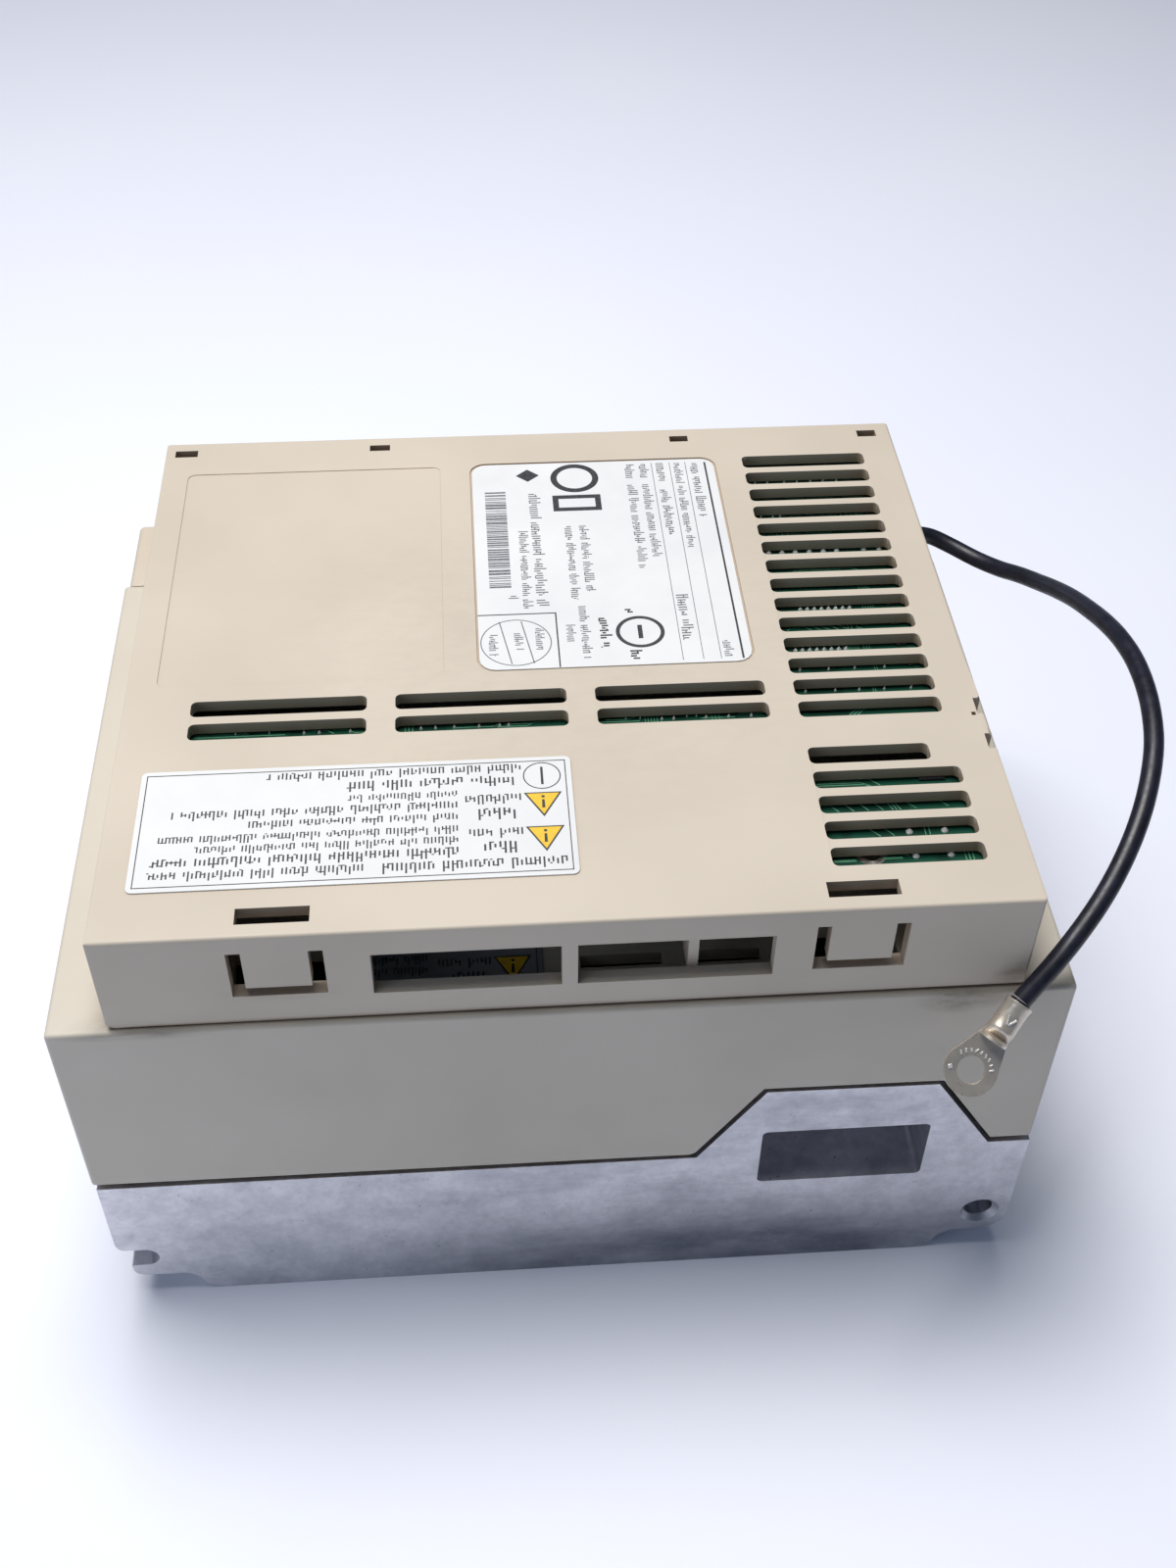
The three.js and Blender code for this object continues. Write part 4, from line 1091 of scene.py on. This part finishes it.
def terminal_springs(node, ways):
    """The plated cage behind each wire entry and the spring tongue behind each release slot."""
    low, high = box_mm(node)
    pitch = (high[0] - low[0] - 2) / ways

    def build(bm):
        for i in range(ways):
            x = low[0] + 1 + pitch * (i + 0.5)
            for x0, x1 in ((x - 1.9, x - 1.6), (x + 1.6, x + 1.9)):
                add_box(bm, x0, x1, 52.1, 60.5, 10.6, 14.3)
            add_box(bm, x - 1.7, x + 1.7, 52.1, 52.5, 10.6, 14.3)
            add_box(bm, x - 1.5, x + 1.5, 60.6, 61.1, 17.6, 19.7)
            tongue = [(60.6, 19.7), (63.2, 18.9), (63.2, 18.5), (60.6, 19.2)]
            add_prism(bm, tongue, x - 1.3, x + 1.3, "yzx")

    solids(node + "_springs", STEEL, build, round_mm=0.08)


terminal_springs("line_connector", 5)
terminal_springs("bus_connector", 4)
terminal_springs("motor_connector", 3)


def network_tongue(node):
    """The flat contact tongue in a network socket's mouth."""
    x = centre_mm(node)[0]

    def tongue(bm):
        add_box(bm, x - 4, x + 4, 51.9, 60.5, 82.4, 83.8)

    solids(node + "_tongue", WHITE, tongue, round_mm=0.2)

    def contacts(bm):
        for i in range(4):
            at = x + (i - 1.5) * 2
            add_box(bm, at - 0.5, at + 0.5, 52.1, 59.9, 82.2, 82.5)

    solids(node + "_contacts", GOLD, contacts)

    def liner(bm):
        add_box(bm, x - 5.45, x - 5.15, 52.1, 63.5, 79.7, 85.8)
        add_box(bm, x + 5.15, x + 5.45, 52.1, 63.5, 79.7, 85.8)
        add_box(bm, x - 5.45, x + 5.45, 52.1, 63.5, 79.62, 79.9)

    solids(node + "_liner", STEEL, liner)


network_tongue("network_socket_1")
network_tongue("network_socket_2")


def monitor_pins(bm):
    for x in (19.2, 22.8):
        for z in (38.6, 40.4):
            add_box(bm, x - 0.32, x + 0.32, 59.9, 63.4, z - 0.32, z + 0.32)


solids("monitor_connector_pins", GOLD, monitor_pins, round_mm=0.08)


# ---- operator panel ----------------------------------------------------------

DIGIT_COUNT = 5


def display_digits():
    """Five unlit seven-segment digits; they read towards +Z, with +X up."""
    middle, _, half_way = centre_mm("flap_window")
    pitch, tall, wide, line, cut = 7.4, 7.2, 3.9, 0.72, 0.12
    front = box_mm("digit_display")[1][1]

    def segment(bm, x, z, upright):
        half = (tall / 2 if upright else wide) / 2 - cut
        tip = line / 2
        shape = [(-half, 0), (-half + tip, tip), (half - tip, tip),
                 (half, 0), (half - tip, -tip), (-half + tip, -tip)]
        points = [(x + u, z + v) if upright else (x + v, z + u) for u, v in shape]
        add_prism(bm, points, front - 0.05, front + 0.06, "xzy")

    def build(bm):
        for i in range(DIGIT_COUNT):
            z = half_way + pitch * (i - (DIGIT_COUNT - 1) / 2)
            for x in (middle - tall / 2, middle, middle + tall / 2):
                segment(bm, x, z, False)
            for x in (middle - tall / 4, middle + tall / 4):
                for side in (-wide / 2, wide / 2):
                    segment(bm, x, z + side, True)
            point = circle(middle - tall / 2, z + wide / 2 + 1.0, 0.42, 12)
            add_prism(bm, point, front - 0.05, front + 0.06, "xzy")

    solids("display_segments", LIT, build)


display_digits()

ARROW = ((-0.9, -0.9), (0.9, -0.9), (0, 0.9))


def key_marks():
    """A plain raised mark on each key: a ring, two arrows and a bar."""
    for i in range(4):
        node = f"panel_key_{i + 1}"
        x, _, z = centre_mm(node)

        def build(bm, i=i, x=x, z=z, top=box_mm(node)[1][1]):
            if i == 0:
                outline = [(x + u, z + v) for u, v in band(0, 0, 1.15, 0.75)]
            elif i == 3:
                outline = [(x - 0.3, z - 1.1), (x + 0.3, z - 1.1), (x + 0.3, z + 1.1), (x - 0.3, z + 1.1)]
            else:
                flip = 1 if i == 1 else -1
                outline = [(x + flip * v, z + u) for u, v in ARROW]
            add_prism(bm, outline, top - 0.05, top + 0.05, "xzy")

        solids(node + "_mark", INK_GREY, build, f"key_{i + 1}")


key_marks()


def front_print():
    """Plain marks: bars by the lamps, ticks round the rotary switch and over the slide switches."""
    front = box_mm("module_cover")[1][1]
    back, face = front - 0.05, front + 0.04
    x, _, z = centre_mm("rotary_body")

    def build(bm):
        for i in range(16):
            tick = ((4.55, -0.09), (5.05, -0.09), (5.05, 0.09), (4.55, 0.09))
            add_prism(bm, turned_outline(x, z, math.tau * i / 16, tick), back, face, "xzy")
        for lamp_z in (81.6, 86.8):
            add_box(bm, 65.2, 67.6, back, face, lamp_z - 0.3, lamp_z + 0.3)
        for i in range(4):
            at = 39.5 + (i - 1.5) * 2.54
            add_box(bm, at - 0.12, at + 0.12, back, face, 87.4, 88.4)

    solids("front_marks", INK_GREY, build)


front_print()


# ---- stage -------------------------------------------------------------------

SKY_COLOUR, SKY_STRENGTH = (0.47, 0.66, 1.0), 0.13
# Each lamp's name, place, width, power and colour.
LAMPS = (
    ("key", (-0.13, 0.11, 0.85), 0.48, 8.8, (1.0, 0.975, 0.945)),
    ("fill", (-0.42, -0.34, 0.24), 0.3, 0.45, (0.8, 0.88, 1.0)),
)


def stage():
    """A wide pale floor, a dim sky, a broad key light from above and a soft cool fill."""
    paper = Material("floor_paper", Roughness=0.75, Specular_IOR_Level=0.2)
    paper.colour(paper.ramp(paper.noise(160, 2), (0.3, (0.84, 0.865, 0.97)), (0.7, (0.86, 0.885, 0.98))))
    bm = bmesh.new()
    bmesh.ops.create_grid(bm, x_segments=2, y_segments=2, size=6)
    mesh = bpy.data.meshes.new("floor")
    bm.to_mesh(mesh)
    bm.free()
    mesh.materials.append(paper.data)
    in_scene("floor", mesh)

    world = bpy.data.worlds.new("studio")
    world.use_nodes = True
    background = world.node_tree.nodes["Background"]
    background.inputs["Color"].default_value = (*SKY_COLOUR, 1)
    background.inputs["Strength"].default_value = SKY_STRENGTH
    scene.world = world
    for row in LAMPS:
        lamp(*row)


def lamp(name, at, width, power, colour):
    """A square area lamp that looks at the middle of the drive."""
    data = bpy.data.lights.new(name, "AREA")
    data.size = width
    data.energy = power
    data.color = colour
    o = in_scene(name, data)
    aim = Vector((0, 0, 0.05)) - Vector(at)
    o.matrix_world = Matrix.Translation(at) @ aim.to_track_quat("-Z", "Y").to_matrix().to_4x4()


stage()
